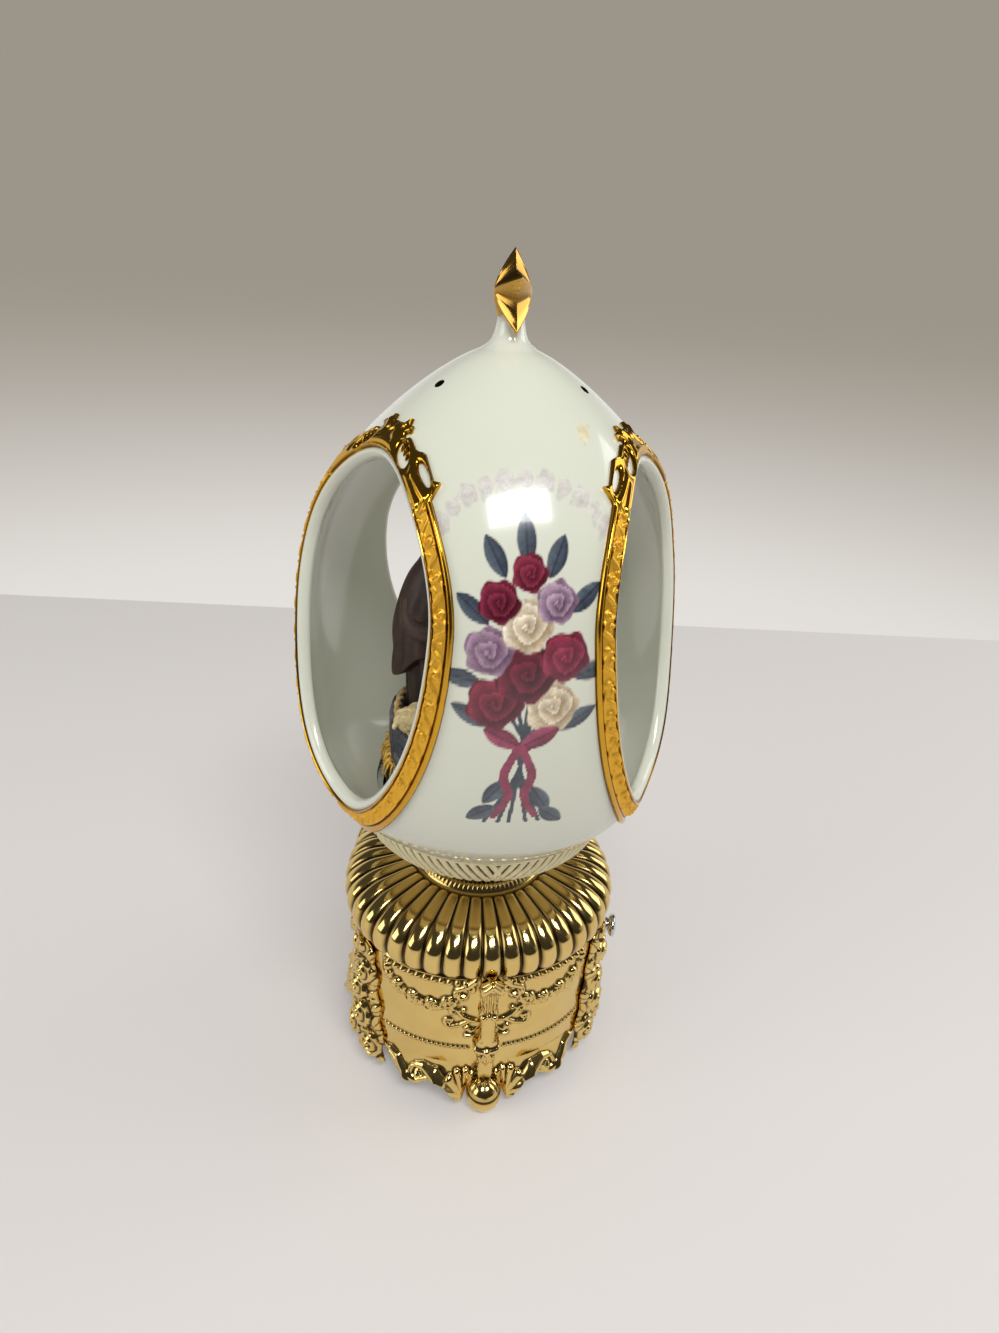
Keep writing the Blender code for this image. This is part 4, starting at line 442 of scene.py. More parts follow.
def round_points(r, degrees, z):
    """Points at a radius, an azimuth and a height."""
    a = np.radians(degrees)
    return np.stack(np.broadcast_arrays(r * np.sin(a), -r * np.cos(a), z), -1)


def gilt_material(name, bright, deep, patina, roughness, grain_mm):
    """Polished plating that is bright on its heights, with a dark patina and painted shade in its hollows."""
    made, nodes, shader = new_material(name, {"Metallic": 1.0})
    hollow = add(nodes, "Attribute", out="Fac", attribute_name="hollow")
    place = add(nodes, "TexCoord", out="Object")
    cloud = add(nodes, "TexNoise", {"Vector": place, "Scale": 130.0, "Detail": 4.0})
    plate = add(nodes, "Mix", {"Factor": cloud, 6: colour(bright), 7: colour(deep)}, 2, data_type="RGBA")
    # The hollow share pulls the plating towards the patina colour: real patina together with painted shade.
    patina_and_shade = add(nodes, "MapRange", {0: hollow, 1: 0.12, 2: 0.85, 3: 0.0, 4: 0.92})
    mixed = add(nodes, "Mix", {"Factor": patina_and_shade, 6: plate, 7: colour(patina)}, 2, data_type="RGBA")
    rough = add(nodes, "MapRange", {0: patina_and_shade, 1: 0.0, 2: 1.0, 3: roughness, 4: roughness + 0.22})
    grain = add(nodes, "TexNoise", {"Vector": place, "Scale": 1000.0 / grain_mm, "Detail": 2.0})
    bump = add(nodes, "Bump", {"Strength": 0.12, "Distance": 0.0001, "Height": grain})
    fill(shader, {"Base Color": mixed, "Roughness": rough, "Normal": bump})
    return made


gilt = gilt_material("polished_gilt_brass", "#ECD28A", "#D9B668", "#2E1A08", 0.11, 1.6)
# The wall stays plain round the stop knob, which is pushed in close to it
KNOB_AZIMUTH, KNOB_Z = 74.0, 35.5
relief = np.zeros_like(base_r)
relief[len(seat_r) + len(top_r):][:len(outer_h)] = outer_h
whole_z = base_z[:, place_in_half]
from_knob = np.hypot(np.radians(azimuth - KNOB_AZIMUTH) * WALL, whole_z - KNOB_Z)
whole_r = base_r[:, place_in_half] - relief[:, place_in_half] * (1 - eased(from_knob, 3.5, 4.6))
make_object("gilt_base", round_points(whole_r, azimuth, whole_z), wrap_faces(len(base_r), COLUMNS), [gilt],
            "root", "base_body", {"hollow": base_patina_and_shade[:, place_in_half]})

# Egg shell. Cast glazed porcelain with three openings and three small vents, printed on its three
# panels under a pearl glaze: the glaze gives a soft sheen over a smooth cream ground.
EGG_RADIUS, EGG_HALF_HEIGHT, EGG_CENTRE = 47.84, 59.8, 132.8
FOOT, SHELL = 79.0, 3.0
WINDOW_Z, WINDOW_UP, WINDOW_DOWN, WINDOW_HALF = 143.0, 28.7, 51.0, 37.2


def egg_radius(z):
    """Outside radius of the egg at a height."""
    u = np.clip((np.asarray(z, float) - EGG_CENTRE) / EGG_HALF_HEIGHT, -1, 1)
    return EGG_RADIUS * np.sqrt(1 - u * u) * (1 - 0.097 * u + 0.092 * u ** 2 - 0.383 * u ** 3)


def egg_normal(z):
    """Outward and upward parts of the egg's normal at a height."""
    slope = (egg_radius(z + 0.1) - egg_radius(z - 0.1)) / 0.2
    long = np.hypot(1, slope)
    return 1 / long, -slope / long


def shell_points(degrees, z, depth):
    """Points of the shell at an azimuth, a height and a depth below the outside."""
    out, up = egg_normal(z)
    return round_points(np.maximum(egg_radius(z) - depth * out, 0.02), degrees, z - depth * up)


# Rows of points: below the windows, beside their lower and upper parts, over them, and up the stem
below = np.linspace(FOOT, WINDOW_Z - WINDOW_DOWN, 24)
open_low = WINDOW_Z - WINDOW_DOWN * np.cos(np.linspace(0, np.pi / 2, 170))
open_high = WINDOW_Z + WINDOW_UP * np.sin(np.linspace(0, np.pi / 2, 110))
CAP_TOP = 0.978
cap_turn = np.linspace(math.asin((open_high[-1] - EGG_CENTRE) / EGG_HALF_HEIGHT), math.asin(CAP_TOP), 46)
cap = EGG_CENTRE + EGG_HALF_HEIGHT * np.sin(cap_turn)
egg_z = np.concatenate([below, open_low[1:], open_high[1:], cap[1:]])
first_open = len(below) - 1
last_open = first_open + len(open_low) + len(open_high) - 2
opening = WINDOW_HALF * bow((egg_z - WINDOW_Z) / np.where(egg_z > WINDOW_Z, WINDOW_UP, WINDOW_DOWN))
opening[:first_open + 1] = 0
opening[last_open:] = 0
STEM = ((5.3, 192.0), (4.6, 192.5), (3.9, 193.4), (3.4, 194.6), (3.1, 196.0), (2.9, 197.4), (2.2, 198.1),
        (0.01, 198.2))


def panel_sheet(middle, cells, depth):
    """Grid of points over one panel, from window edge to window edge, and up to the stem."""
    share = np.linspace(-1, 1, 2 * cells + 1)[None, :]
    stem = np.array([(0.01, 189.0)] if depth else STEM)
    return np.concatenate([shell_points(middle + share * (60 - opening[:, None]), egg_z[:, None], depth),
                           round_points(stem[:, :1], middle + share * 60, stem[:, 1:])])


def printed_panel(x, z):
    """Ink colour and its cover over one panel, at mm across from its middle and height: a tied spray
    of roses under a faint arch of blossom, with one small star."""
    ink_and_shade = np.ones(x.shape + (4,)) * np.array(colour("#D8D4C4"))
    cover = np.zeros(x.shape)

    def paint(mask, tone):
        ink_and_shade[...] = ink_and_shade * (1 - mask[..., None]) + np.array(tone) * mask[..., None]
        np.maximum(cover, mask, out=cover)

    def soft(distance, strength=1.0):
        return np.clip(0.5 - distance / 0.35, 0, 1) * strength

    def blend(dark, light, share):
        share = np.clip(share, 0, 1)[..., None]
        return np.array(colour(dark)) * (1 - share) + np.array(colour(light)) * share

    def petal(a, b, turn, length, width, dark, light, strength=1.0):
        p, q = along_leaf(x, z, a, b, turn, length, width)
        half = np.sin(np.pi * np.clip(p, 0, 1)) ** 0.7
        inside = np.where((p > 0) & (p < 1), (np.abs(q) - half) * width, 1)
        lit = 0.55 + 0.45 * q / np.maximum(half, 0.05) - 0.5 * np.exp(-(q / 0.1) ** 2)
        paint(soft(inside, strength), blend(dark, light, lit))

    def bloom(a, b, size, dark, light, strength=1.0):
        q = np.hypot(x - a, z - b) / size
        turn = np.arctan2(z - b, x - a)
        rim = 1 + 0.07 * np.cos(5 * turn + a) + 0.03 * np.cos(9 * turn + b)
        wind = (2.6 * q ** 0.85 - turn / math.tau + 0.12 * np.sin(3 * turn + 5 * q)) % 1.0
        lit = 0.15 + 0.85 * wind ** 1.6 - 0.35 * np.clip(0.3 - q, 0, 1) + 0.18 * np.sin(turn - 0.8)
        paint(soft((q - rim) * size, strength), blend(dark, light, lit))

    def stroke(path, tone):
        path = [tuple(row) for row in spline(path, 4 * len(path))]
        paint(np.clip(ridge(x, z, path) * 4, 0, 1), colour(tone))

    for i in range(13):
        turn = math.radians(20 + i * 140 / 12)
        a, b = 19.0 * math.cos(turn), 154.0 + 17.0 * math.sin(turn)
        petal(a, b, 200 + 30 * (i % 3), 3.0, 0.7, "#A9B0A0", "#C4C8B4", 0.5)
        bloom(a, b, 1.5 + 0.4 * (i % 2), "#B09AB4", "#D9CCDA", 0.55)
    for a, b, lean in ((-5, 133, 2.5), (-2, 134, 1.2), (1, 134, 0.2), (4, 133, -1.4), (7, 131, -2.6)):
        stroke([(a, b, 0.5), (0.4 + 0.2 * lean, 121, 0.45), (-2.2 * lean - 0.5, 103.5, 0.5)], "#3B4650")
    for a, b, turn, size in ((-6, 127, 150, 9), (7, 126, 30, 9), (-8, 136, 170, 8), (9, 137, 12, 8),
                             (-7, 147, 140, 8), (8, 149, 38, 8), (0, 157, 92, 9), (-4, 155, 118, 8),
                             (4, 155, 66, 8), (-2, 115, 235, 8), (3, 113, 300, 8), (-4, 108, 215, 7),
                             (5, 107, 320, 7)):
        petal(a, b, turn, size, 1.9, "#2C3242", "#5B6670")
    for rose_in_print in (
            (-5.5, 132, 5.4, "#44101F", "#8A2A40"), (5.6, 131, 5.2, "#A8906E", "#EFE2C6"),
            (0.2, 138, 5.8, "#3A0E1C", "#7E2238"), (-7, 142, 4.6, "#6A4A66", "#B094A8"),
            (7.6, 141, 4.8, "#58162A", "#9A3850"), (0, 147, 4.9, "#AE9674", "#F2E7D0"),
            (-5.2, 151, 3.9, "#44101F", "#8E3048"), (5.6, 151, 3.9, "#6E4E68", "#B69CB0"),
            (0.4, 156, 3.4, "#4E1424", "#96364C")):
        bloom(*rose_in_print)
    # The bow and the tails of the ribbon
    stroke([(-3.6, 124, 0.9), (0, 122.6, 1.2), (3.8, 123.6, 0.9)], "#7C2A44")
    for side in (-1, 1):
        petal(0, 122.6, 90 - side * 62, 8.4, 2.1, "#5A1428", "#A4486A")
        tail = ((0.4, 122, 0.8), (2.8, 116, 1.0), (1.6, 110.5, 0.9), (4.2, 105, 0.7))
        stroke([(side * a, b, r) for a, b, r in tail], "#8A3450")
    star_x, star_z = x - 13.2, z - 178.0
    points_out = 1.1 * np.abs(np.cos(3 * np.arctan2(star_x, star_z))) ** 6
    paint(soft(np.hypot(star_x, star_z) - 1.2 - points_out, 0.7), colour("#E3CF86"))
    return ink_and_shade, cover


PANEL_CELLS, INNER_CELLS = 100, 20
share = np.linspace(-1, 1, 2 * PANEL_CELLS + 1)[None, :]
half = np.concatenate([60 - opening, np.full(len(STEM), 60.0)])[:, None]
rows_z = np.concatenate([egg_z, [row[1] for row in STEM]])[:, None] + 0 * share
flat_x = np.radians(share * half) * np.concatenate([egg_radius(egg_z), [2.0] * len(STEM)])[:, None]
# Above this height nothing is printed
BARE_Z, OFF_THE_PRINT = 185.0, 40.0
tones, covered = printed_panel(np.where(rows_z > BARE_Z, OFF_THE_PRINT, flat_x), rows_z)
sheets = []
for middle in (0, 120, 240):
    sheets.append((panel_sheet(middle, PANEL_CELLS, 0.0), tones, covered))
    sheets.append((panel_sheet(middle, INNER_CELLS, SHELL), 1.0, 0.0))
# The lip of each opening, rounded between the outside and the inside
lip = np.linspace(0, 1, 7)[None, :]
close = 1 - 0.014 * np.sin(np.pi * lip)
lip_z = WINDOW_Z + (egg_z[first_open:last_open + 1, None] - WINDOW_Z) * close
for middle in (60, 180, 300):
    for side in (-1, 1):
        lip_turn = middle + side * opening[first_open:last_open + 1, None] * close
        sheets.append((shell_points(lip_turn, lip_z, SHELL * lip), 1.0, 0.0))
foot_r = np.array([[egg_radius(FOOT)], [egg_radius(FOOT) - SHELL]])
sheets.append((round_points(foot_r, np.linspace(0, 360, 241)[None, :], FOOT), 1.0, 0.0))
starts = np.cumsum([0] + [sheet[..., 0].size for sheet, _, _ in sheets])
faces = [wrap_faces(*sheet.shape[:2], False, False) + start for (sheet, _, _), start in zip(sheets, starts)]
ink_and_shade = [(tone + np.zeros(sheet.shape[:2] + (4,))).reshape(-1, 4) for sheet, tone, _ in sheets]
cover = [(amount + np.zeros(sheet.shape[:2])).ravel() for sheet, _, amount in sheets]

porcelain, nodes, shader = new_material("glazed_pearl_porcelain", {
    "Roughness": 0.16, "IOR": 1.52, "Coat Weight": 0.5, "Coat Roughness": 0.04})
place = add(nodes, "TexCoord", out="Object")
cloud = add(nodes, "TexNoise", {"Vector": place, "Scale": 22.0, "Detail": 3.0})
ground = add(nodes, "Mix", {"Factor": cloud, 6: colour("#DEE0D0"), 7: colour("#D6D9C8")}, 2, data_type="RGBA")
print_and_shade = add(nodes, "Attribute", out="Fac", attribute_name="print_and_shade")
inked_and_shaded = add(nodes, "Attribute", out="Color", attribute_name="ink_and_shade")
mottle = add(nodes, "TexNoise", {"Vector": place, "Scale": 420.0, "Detail": 5.0, "Roughness": 0.7})
depth = add(nodes, "MapRange", {0: mottle, 1: 0.3, 2: 0.7, 3: 0.62, 4: 1.35})
brushed = add(nodes, "VectorMath", {0: inked_and_shaded, "Scale": depth}, operation="SCALE")
painted = add(nodes, "Mix", {"Factor": print_and_shade, 6: ground, 7: brushed}, 2, data_type="RGBA")
ripple = add(nodes, "TexNoise", {"Vector": place, "Scale": 90.0})
bump = add(nodes, "Bump", {"Strength": 0.03, "Distance": 0.0002, "Height": ripple})
fill(shader, {"Base Color": painted, "Normal": bump})
egg = make_object("porcelain_egg", np.concatenate([sheet.reshape(-1, 3) for sheet, _, _ in sheets]),
                  np.concatenate(faces), [porcelain], "root", "egg_shell",
                  {"print_and_shade": np.concatenate(cover), "ink_and_shade": np.concatenate(ink_and_shade)})

# Three small round vents are drilled through the top of the shell
VENT_RADIUS, VENT_Z, NEAR_VENT = 0.00115, 184.6, 0.006
shell = bmesh.new()
shell.from_mesh(egg.data)
for middle in (60, 180, 300):
    on_shell = shell_points(middle, VENT_Z, 0.0)
    axis = Vector(shell_points(middle, VENT_Z, -1.0) - on_shell)
    centre = Vector(on_shell / 1000) + Vector((turning_axis.x, turning_axis.y, 0))

    def from_axis(point):
        arm = point - centre
        return arm - arm.dot(axis) * axis

    near = [f for f in shell.faces if (f.verts[0].co - centre).length < NEAR_VENT]
    doomed = {f for f in near if from_axis(f.calc_center_median()).length < VENT_RADIUS}
    rims = {e for f in doomed for e in f.edges if not doomed.issuperset(e.link_faces)}
    bmesh.ops.delete(shell, geom=list(doomed), context="FACES")
    rims = [e for e in rims if e.is_valid]
    for v in {v for e in rims for v in e.verts}:
        arm = from_axis(v.co)
        v.co += arm * (VENT_RADIUS / max(arm.length, 1e-9) - 1)
    walls = bmesh.ops.bridge_loops(shell, edges=rims)["faces"]
    bmesh.ops.split_edges(shell, edges=rims)
    # The wall of each vent is coloured near black: painted shade inside the hole, carried by the print's
    # attributes
    for v in {v for f in walls for v in f.verts}:
        v[shell.verts.layers.float["print_and_shade"]] = 1.0
        v[shell.verts.layers.float_color["ink_and_shade"]] = colour("#1C1812")
shell.to_mesh(egg.data)
shell.free()

# Window trims. Thin stamped brass bands glued round the openings: an inner bead, a satin band
# embossed with scrolls, a polished half-round strip, and a pierced polished crest over the top.
ROUND, ACROSS = 900, 34
CREST = 46.0
round_turn = np.arange(ROUND) / ROUND * math.tau
from_top = np.abs((np.degrees(round_turn) - 90 + 180) % 360 - 180)


def spike(value, middle, half):
    """Pointed step, 1 at its middle."""
    return np.clip(1 - np.abs(value - middle) / half, 0, 1)


def trim_place(turn, s):
    """Azimuth from the window's middle and height, at a place round and across a trim."""
    tall = np.where(np.sin(turn) > 0, 29.2 + 4.5 * s, 51.5 + 7.1 * s)
    return (37.8 + 5.6 * s) * np.cos(turn), WINDOW_Z + tall * np.sin(turn)


def crest_outline(turned):
    """Width of the crest at an angle from the top, in widths of the band."""
    middle = 1.0 + 0.42 * spike(turned, 8.5, 3.4) + 0.30 * spike(turned, 13.0, 2.6)
    middle = middle + 0.14 * spike(turned, 2.5, 3)
    arm = 0.34 * eased(turned, 24, 32) * (1 - eased(turned, 46, 49))
    return middle + (arm + 0.34 * spike(turned, 44.5, 2.8))


def pierced(turned, s):
    """Distance inside the metal of the crest, in mm, from its holes and its edges."""
    x, y = 0.56 * turned, 5.4 * s

    def oval(a, b, long, wide, turn=0.0):
        p, q = along_leaf(x, y, a, b, turn, long, wide)
        return (np.hypot(p, q) - 1) * min(long, wide)

    bars = [-oval(a, 4.3, 0.55, 2.0) for a in (9.6, 11.4, 13.1)]
    bowl = np.maximum.reduce([oval(11.3, 2.5, 3.7, 1.75, -8)] + bars)
    slot = oval(20.6, 5.4, 3.1, 0.95, 8)
    eye = oval(8.0, 5.05, 1.25, 0.5, 14)
    return np.minimum.reduce([y + 0 * x, 5.4 * crest_outline(turned) - y, bowl, slot, eye])


SCROLL = [
    curl(0.2, 0.0, 215, 0.95, 1.5, 0.44),
    [(-3.3, 1.0, 0.25), (-2.6, 0.1, 0.42), (-1.5, -1.0, 0.42), (0.0, -1.5, 0.36)],
    [(1.7, 0.7, 0.3), (2.5, 1.2, 0.4), (3.3, 1.0, 0.25)],
    [(2.4, -1.0, 0.5), (2.9, -0.5, 0.25)],
]
SCROLL_LENGTH = 6.8

trim_gold = gilt_material("stamped_gilt_trim", "#E2B23A", "#C8922A", "#3A1E08", 0.12, 1.2)
nodes = trim_gold.node_tree.nodes
satin = add(nodes, "Attribute", out="Fac", attribute_name="satin")
shader = nodes["Principled BSDF"]
plated, polish = (shader.inputs[key].links[0].from_socket for key in ("Base Color", "Roughness"))
warm = add(nodes, "Mix", {"Factor": satin, 6: plated, 7: colour("#F2BE44")}, 2, data_type="RGBA")
rough = add(nodes, "Mix", {0: satin, 2: polish, 3: 0.5})
fill(shader, {"Base Color": warm, "Roughness": rough})

v = np.linspace(0, 1, ACROSS)[None, :]
turned = from_top[:, None] + 0 * v
crest_share = 1 - eased(turned, CREST - 2, CREST + 1)
s = v * (crest_outline(turned) * crest_share + 1 - crest_share)
metal = np.where(turned < CREST + 2, pierced(turned, s), 1.0)
faces = wrap_faces(ROUND, ACROSS, True, False)
faces = faces[(metal.ravel() > 0)[faces].sum(1) >= 3]
# Points beside a hole are pulled onto its edge
touched = np.bincount(faces.ravel(), minlength=ROUND * ACROSS).reshape(ROUND, ACROSS)
at_edge = (touched > 0) & (touched < 4) & (np.abs(metal) < 0.6) & (v > 0.01) & (v < 0.99) & (turned < CREST)
step = np.stack(np.gradient(metal), -1)
slope = np.maximum((step ** 2).sum(-1), 1e-4)
shift = np.clip(np.where(at_edge, -metal / slope, 0)[..., None] * step, -0.8, 0.8)
metal = np.where(at_edge, 0, metal)
angle, z = trim_place(round_turn[:, None] + shift[..., 0] * math.tau / ROUND,
                      s + shift[..., 1] * (s[:, -1:] / (ACROSS - 1)))
inner_line, middle_line, outer_line = (
    shell_points(*trim_place(round_turn, share), 0.0) for share in (0, 0.4, 1))
travel = np.linalg.norm(np.roll(middle_line, -1, 0) - middle_line, axis=1)
along = np.concatenate([[0], np.cumsum(travel)[:-1]])
along = np.abs(along - along[ROUND // 4])[:, None]
width_mm = np.linalg.norm(outer_line - inner_line, axis=1)[:, None]
# Across the band: an inner bead, the satin part with its scrolls, and the half-round strip
scroll_x = (along + SCROLL_LENGTH / 2) % SCROLL_LENGTH - SCROLL_LENGTH / 2
scroll_h = 1.25 * ridges(scroll_x, (v - 0.405) * width_mm, SCROLL)
stamped = (v > 0.13) & (v < 0.68)
band_h = np.where(v < 0.08, 0.35 + 0.35 * bow((v - 0.04) / 0.04), 0.3)
band_h = np.where(stamped, 0.55 + scroll_h, band_h)
band_h = np.where(v > 0.74, 0.35 + 0.8 * bow((v - 0.87) / 0.13), band_h)
pillow = bow(1 - np.clip(metal / 1.2, 0, 1))
veins = 0.16 * np.cos(4.2 * np.clip(metal, 0, 2.2)) * (metal > 0.4)
h = (0.35 + 0.85 * pillow + veins) * crest_share + band_h * (1 - crest_share)
satin_share = stamped * (1 - crest_share)
# Painted shade, with the patina, in the hollows of the band and along the crest's edges where it falls away
# to its holes
dark = np.maximum(hollows(h, 3, 0.3) * (1 - 0.3 * satin_share), 0.55 * crest_share * (1 - pillow))
# The sheet gets an underside, and walls along every edge that only one face has
sides = np.stack([faces, np.roll(faces, -1, 1)], -1).reshape(-1, 2)
_, first, times = np.unique(np.sort(sides, 1), axis=0, return_index=True, return_counts=True)
rim = sides[first[times == 1]]
count = ROUND * ACROSS
walls = np.stack([rim[:, 0], rim[:, 1], rim[:, 1] + count, rim[:, 0] + count], -1)
used, all_faces = np.unique(np.concatenate([faces, faces[:, ::-1] + count, walls]), return_inverse=True)
for number, middle in ((1, 60), (2, 180), (3, 300)):
    skins = [shell_points(middle + angle, z, depth).reshape(-1, 3) for depth in (-h, 0.05 + 0 * h)]
    values = {key: np.concatenate([field.ravel(), np.zeros(count)])[used]
              for key, field in (("hollow", dark), ("satin", satin_share))}
    make_object("gilt_trim_%d" % number, np.concatenate(skins)[used], all_faces.reshape(-1, 4), [trim_gold],
                "root", "window_trim_%d" % number, values, crisp=60)

# Star finial. Cast in zinc and plated like the trims, with five rounded rays, each with a ridge down
# its middle; it sits astride the porcelain stem and is seen nearly edge on from the front.


def joined(parts, tones=None):
    """Points, faces and colours of closed skins through rings of points, each closed at both ends."""
    points, faces, paint, total = [], [], [], 0
    for i, rings in enumerate(parts):
        rings = np.concatenate([rings[:1].mean(1, keepdims=True) + 0 * rings[:1], rings,
                                rings[-1:].mean(1, keepdims=True) + 0 * rings[-1:]])
        count, sides = rings.shape[:2]
        points.append(rings.reshape(-1, 3))
        faces.append(wrap_faces(count, sides, False, True) + total)
        total += count * sides
        if tones:
            paint.append(np.tile(colour(tones[i]), (count * sides, 1)))
    return np.concatenate(points), np.concatenate(faces), np.concatenate(paint) if tones else None


def end_rows(rows):
    """Values of the rings of a skin, with its two end points too."""
    return np.concatenate([rows[:1], rows, rows[-1:]]).ravel()


STRAIGHT_UP = np.array([0.0, 0.0, 1.0])
star_plate = gilt_material("plated_zinc_star", "#DDAE58", "#B98A3C", "#2A1408", 0.1, 1.2)
STAR_Z, STAR_TURN, NOTCH, RAY, LEG, THICK = 202.8, -85.0, 4.3, 9.2, 11.2, 4.1
reach = np.array([RAY, NOTCH, RAY, NOTCH, LEG, NOTCH, LEG, NOTCH, RAY, NOTCH])
corner_turn = np.arange(10) * math.pi / 5
corners = np.stack([reach * np.sin(corner_turn), reach * np.cos(corner_turn)], -1)
for _ in range(3):
    ahead = np.roll(corners, -1, 0)
    corners = np.stack([0.86 * corners + 0.14 * ahead, 0.14 * corners + 0.86 * ahead], 1).reshape(-1, 2)
theta = np.linspace(0, math.tau, 241)[:-1]
corner_turn = np.arctan2(corners[:, 0], corners[:, 1]) % math.tau
order = np.argsort(corner_turn)
reach = np.interp(theta, corner_turn[order], np.hypot(*corners.T)[order], period=math.tau)
rounding = 0.94 + 0.06 * np.sin(np.linspace(0, np.pi / 2, 7)[1:])
q = np.concatenate([np.linspace(0.02, 0.94, 18), rounding])[:, None]
off_ray = np.abs((theta + math.pi / 5) % (math.tau / 5) - math.pi / 5) / (math.pi / 5)
out, in_plane = round_axis(STAR_TURN)
flat = (q * reach * np.sin(theta))[..., None] * in_plane
flat = flat + (q * reach * np.cos(theta))[..., None] * STRAIGHT_UP
lift = (THICK * (1 - q ** 1.5) + 0 * theta)[..., None] * out
rings = np.concatenate([flat - lift, (flat + lift)[::-1][1:]]) + STAR_Z * STRAIGHT_UP
# Painted shade on the flanks between the rays' ridges, growing away from the middle
dark = off_ray * np.clip(2 * q, 0, 1)
points, faces, _ = joined([rings])
make_object("gilt_star", points, faces, [star_plate], "root", "star_finial",
            {"hollow": 0.6 * end_rows(np.concatenate([dark, dark[::-1][1:]]))})

# Laurel cup. A gilt cup cast with a wreath of slanting leaves round its rim, which meet at the front,
# and rubbed with cream enamel that leaves gilt in the gaps between the leaves. Painted shade darkens
# those gaps, the cup below the wreath a little, and its inside fully.
CUP = ((15.9, 58.9), (15.3, 60.2), (15.2, 61.6), (16.6, 63.6), (22.2, 68.5), (30.0, 73.2), (31.5, 74.6),
       (32.3, 76.6), (33.2, 79.2), (33.6, 80.5), (33.3, 81.0), (32.7, 80.9))
CUP_INSIDE = np.array([(31.7, 80.3), (31.2, 79.4), (30.6, 78.7), (27.0, 78.6), (21.0, 72.0), (12.0, 66.0),
                       (4.0, 63.0), (4.0, 58.9)])
WREATH, RIM_Z = 8.6, 80.6
cup_rows = spline(CUP, 90)
slope = np.gradient(cup_rows, axis=0)
slope /= np.hypot(slope[:, 0], slope[:, 1])[:, None]
run = np.concatenate([[0], np.cumsum(np.hypot(*np.diff(cup_rows, axis=0).T))])
up = (run - (np.interp(RIM_Z, cup_rows[:, 1], run) - WREATH))[:, None]
side_at = across[None, :] * 33 / WALL
phase = ((side_at - 0.6 * up) / 2.3) % 1 - 0.5
leaf_h = 1.05 * bow(phase / 0.42) * (1 - 0.2 * np.exp(-(phase / 0.08) ** 2)) * bow((up - 4.4) / 4.3)
rolled = 0.7 * ridge(side_at, up, [(-2, WREATH, 0.5), (40, WREATH, 0.5)])
tuft = [leaf(side_at, up, 0, 0.6, 90, 7.6, 1.2, 1.0), leaf(side_at, up, 0, 0.8, 55, 5.5, 0.9, 1.0)]
cup_h = np.minimum(np.maximum.reduce([leaf_h, rolled] + tuft), 1.1)
cup_h[up[:, 0] < 0] = 0
# Painted shade: in the gaps between the leaves, and growing below the wreath
cup_shade = hollows(cup_h, 4, 0.24) + 0.3 * np.clip(-up / 3, 0, 1)
inside = CUP_INSIDE[:, :, None] + 0 * half_azimuth
radius = np.concatenate([cup_rows[:, :1] + cup_h * slope[:, 1:], inside[:, 0]])
level = np.concatenate([cup_rows[:, 1:] - cup_h * slope[:, :1], inside[:, 1]])
# The inside of the cup is fully dark with painted shade
cup_shade = np.concatenate([cup_shade, np.ones_like(inside[:, 0])])[:, place_in_half]
enamel, nodes, shader = new_material("cream_rubbed_gilt_laurel", {"Roughness": 0.28})
hollow = add(nodes, "Attribute", out="Fac", attribute_name="hollow")
place = add(nodes, "TexCoord", out="Object")
wear = add(nodes, "TexNoise", {"Vector": place, "Scale": 900.0, "Detail": 4.0})
varied_tone = add(nodes, "Mix", {"Factor": wear, 6: colour("#EFE8C8"), 7: colour("#D8C890")}, 2, data_type="RGBA")
# Where the painted shade lies the enamel turns dark brown and more metallic
gap_shade = add(nodes, "MapRange", {0: hollow, 1: 0.1, 2: 0.8})
mixed = add(nodes, "Mix", {"Factor": gap_shade, 6: varied_tone, 7: colour("#4A3210")}, 2, data_type="RGBA")
metal_share = add(nodes, "MapRange", {0: gap_shade, 3: 0.35, 4: 0.9})
fill(shader, {"Base Color": mixed, "Metallic": metal_share})
make_object("laurel_wreath_cup", round_points(radius[:, place_in_half], azimuth, level[:, place_in_half]),
            wrap_faces(len(radius), COLUMNS), [enamel], "root", "laurel_cup",
            {"hollow": cup_shade})

# Corner pilasters with ball feet, and rose bouquets on the side middles. Castings in the same gilt
# metal, fixed to the drum from behind.
PILASTER_FOOT, PILASTER_TOP, POST_RADIUS, BALL_OUT, BALL_Z, BALL = 9.0, 48.2, 34.35, 35.6, 4.49, 4.72
# Heights of the pilaster and its half width there
WIDTHS = np.array([(9.0, 1.7), (11, 2.0), (18, 2.4), (19.4, 2.6), (20.6, 3.5), (22.0, 3.6), (23.2, 2.5),
                   (25.5, 2.1), (31.0, 2.1), (32.4, 2.5), (33.6, 2.7), (34.6, 2.2), (36.5, 2.1), (39.0, 2.5),
                   (42.5, 3.1), (44.5, 3.2), (46.5, 2.9), (48.2, 0.9)])
rows = np.linspace(PILASTER_FOOT, PILASTER_TOP, 190)[:, None]
half = np.interp(rows, *WIDTHS.T)
x_share = np.linspace(-1, 1, 49)[None, :]
x = x_share * half
plate_h = 1.9 * np.clip(1 - np.abs(x_share) ** 7, 0, 1) ** 0.3
border = 0.28 * np.exp(-((np.abs(x) - 1.55) / 0.25) ** 2) * (rows > 24) * (rows < 31)
lines = 0.34 * np.cos(x * math.tau / 1.15) * eased(rows, 34.5, 36) * (1 - eased(rows, 41, 46))
work = [ridges(x, rows, [[(-3.2, 21.6, 0.8), (-1.2, 20.9, 0.8), (1.2, 20.9, 0.8), (3.2, 21.6, 0.8)],
                         [(-1.5, 33.2, 0.85)], [(0, 33.7, 0.85)], [(1.5, 33.2, 0.85)]]),
        1.2 * ridge(x, rows, [(0, 20.9, 1.1)])]
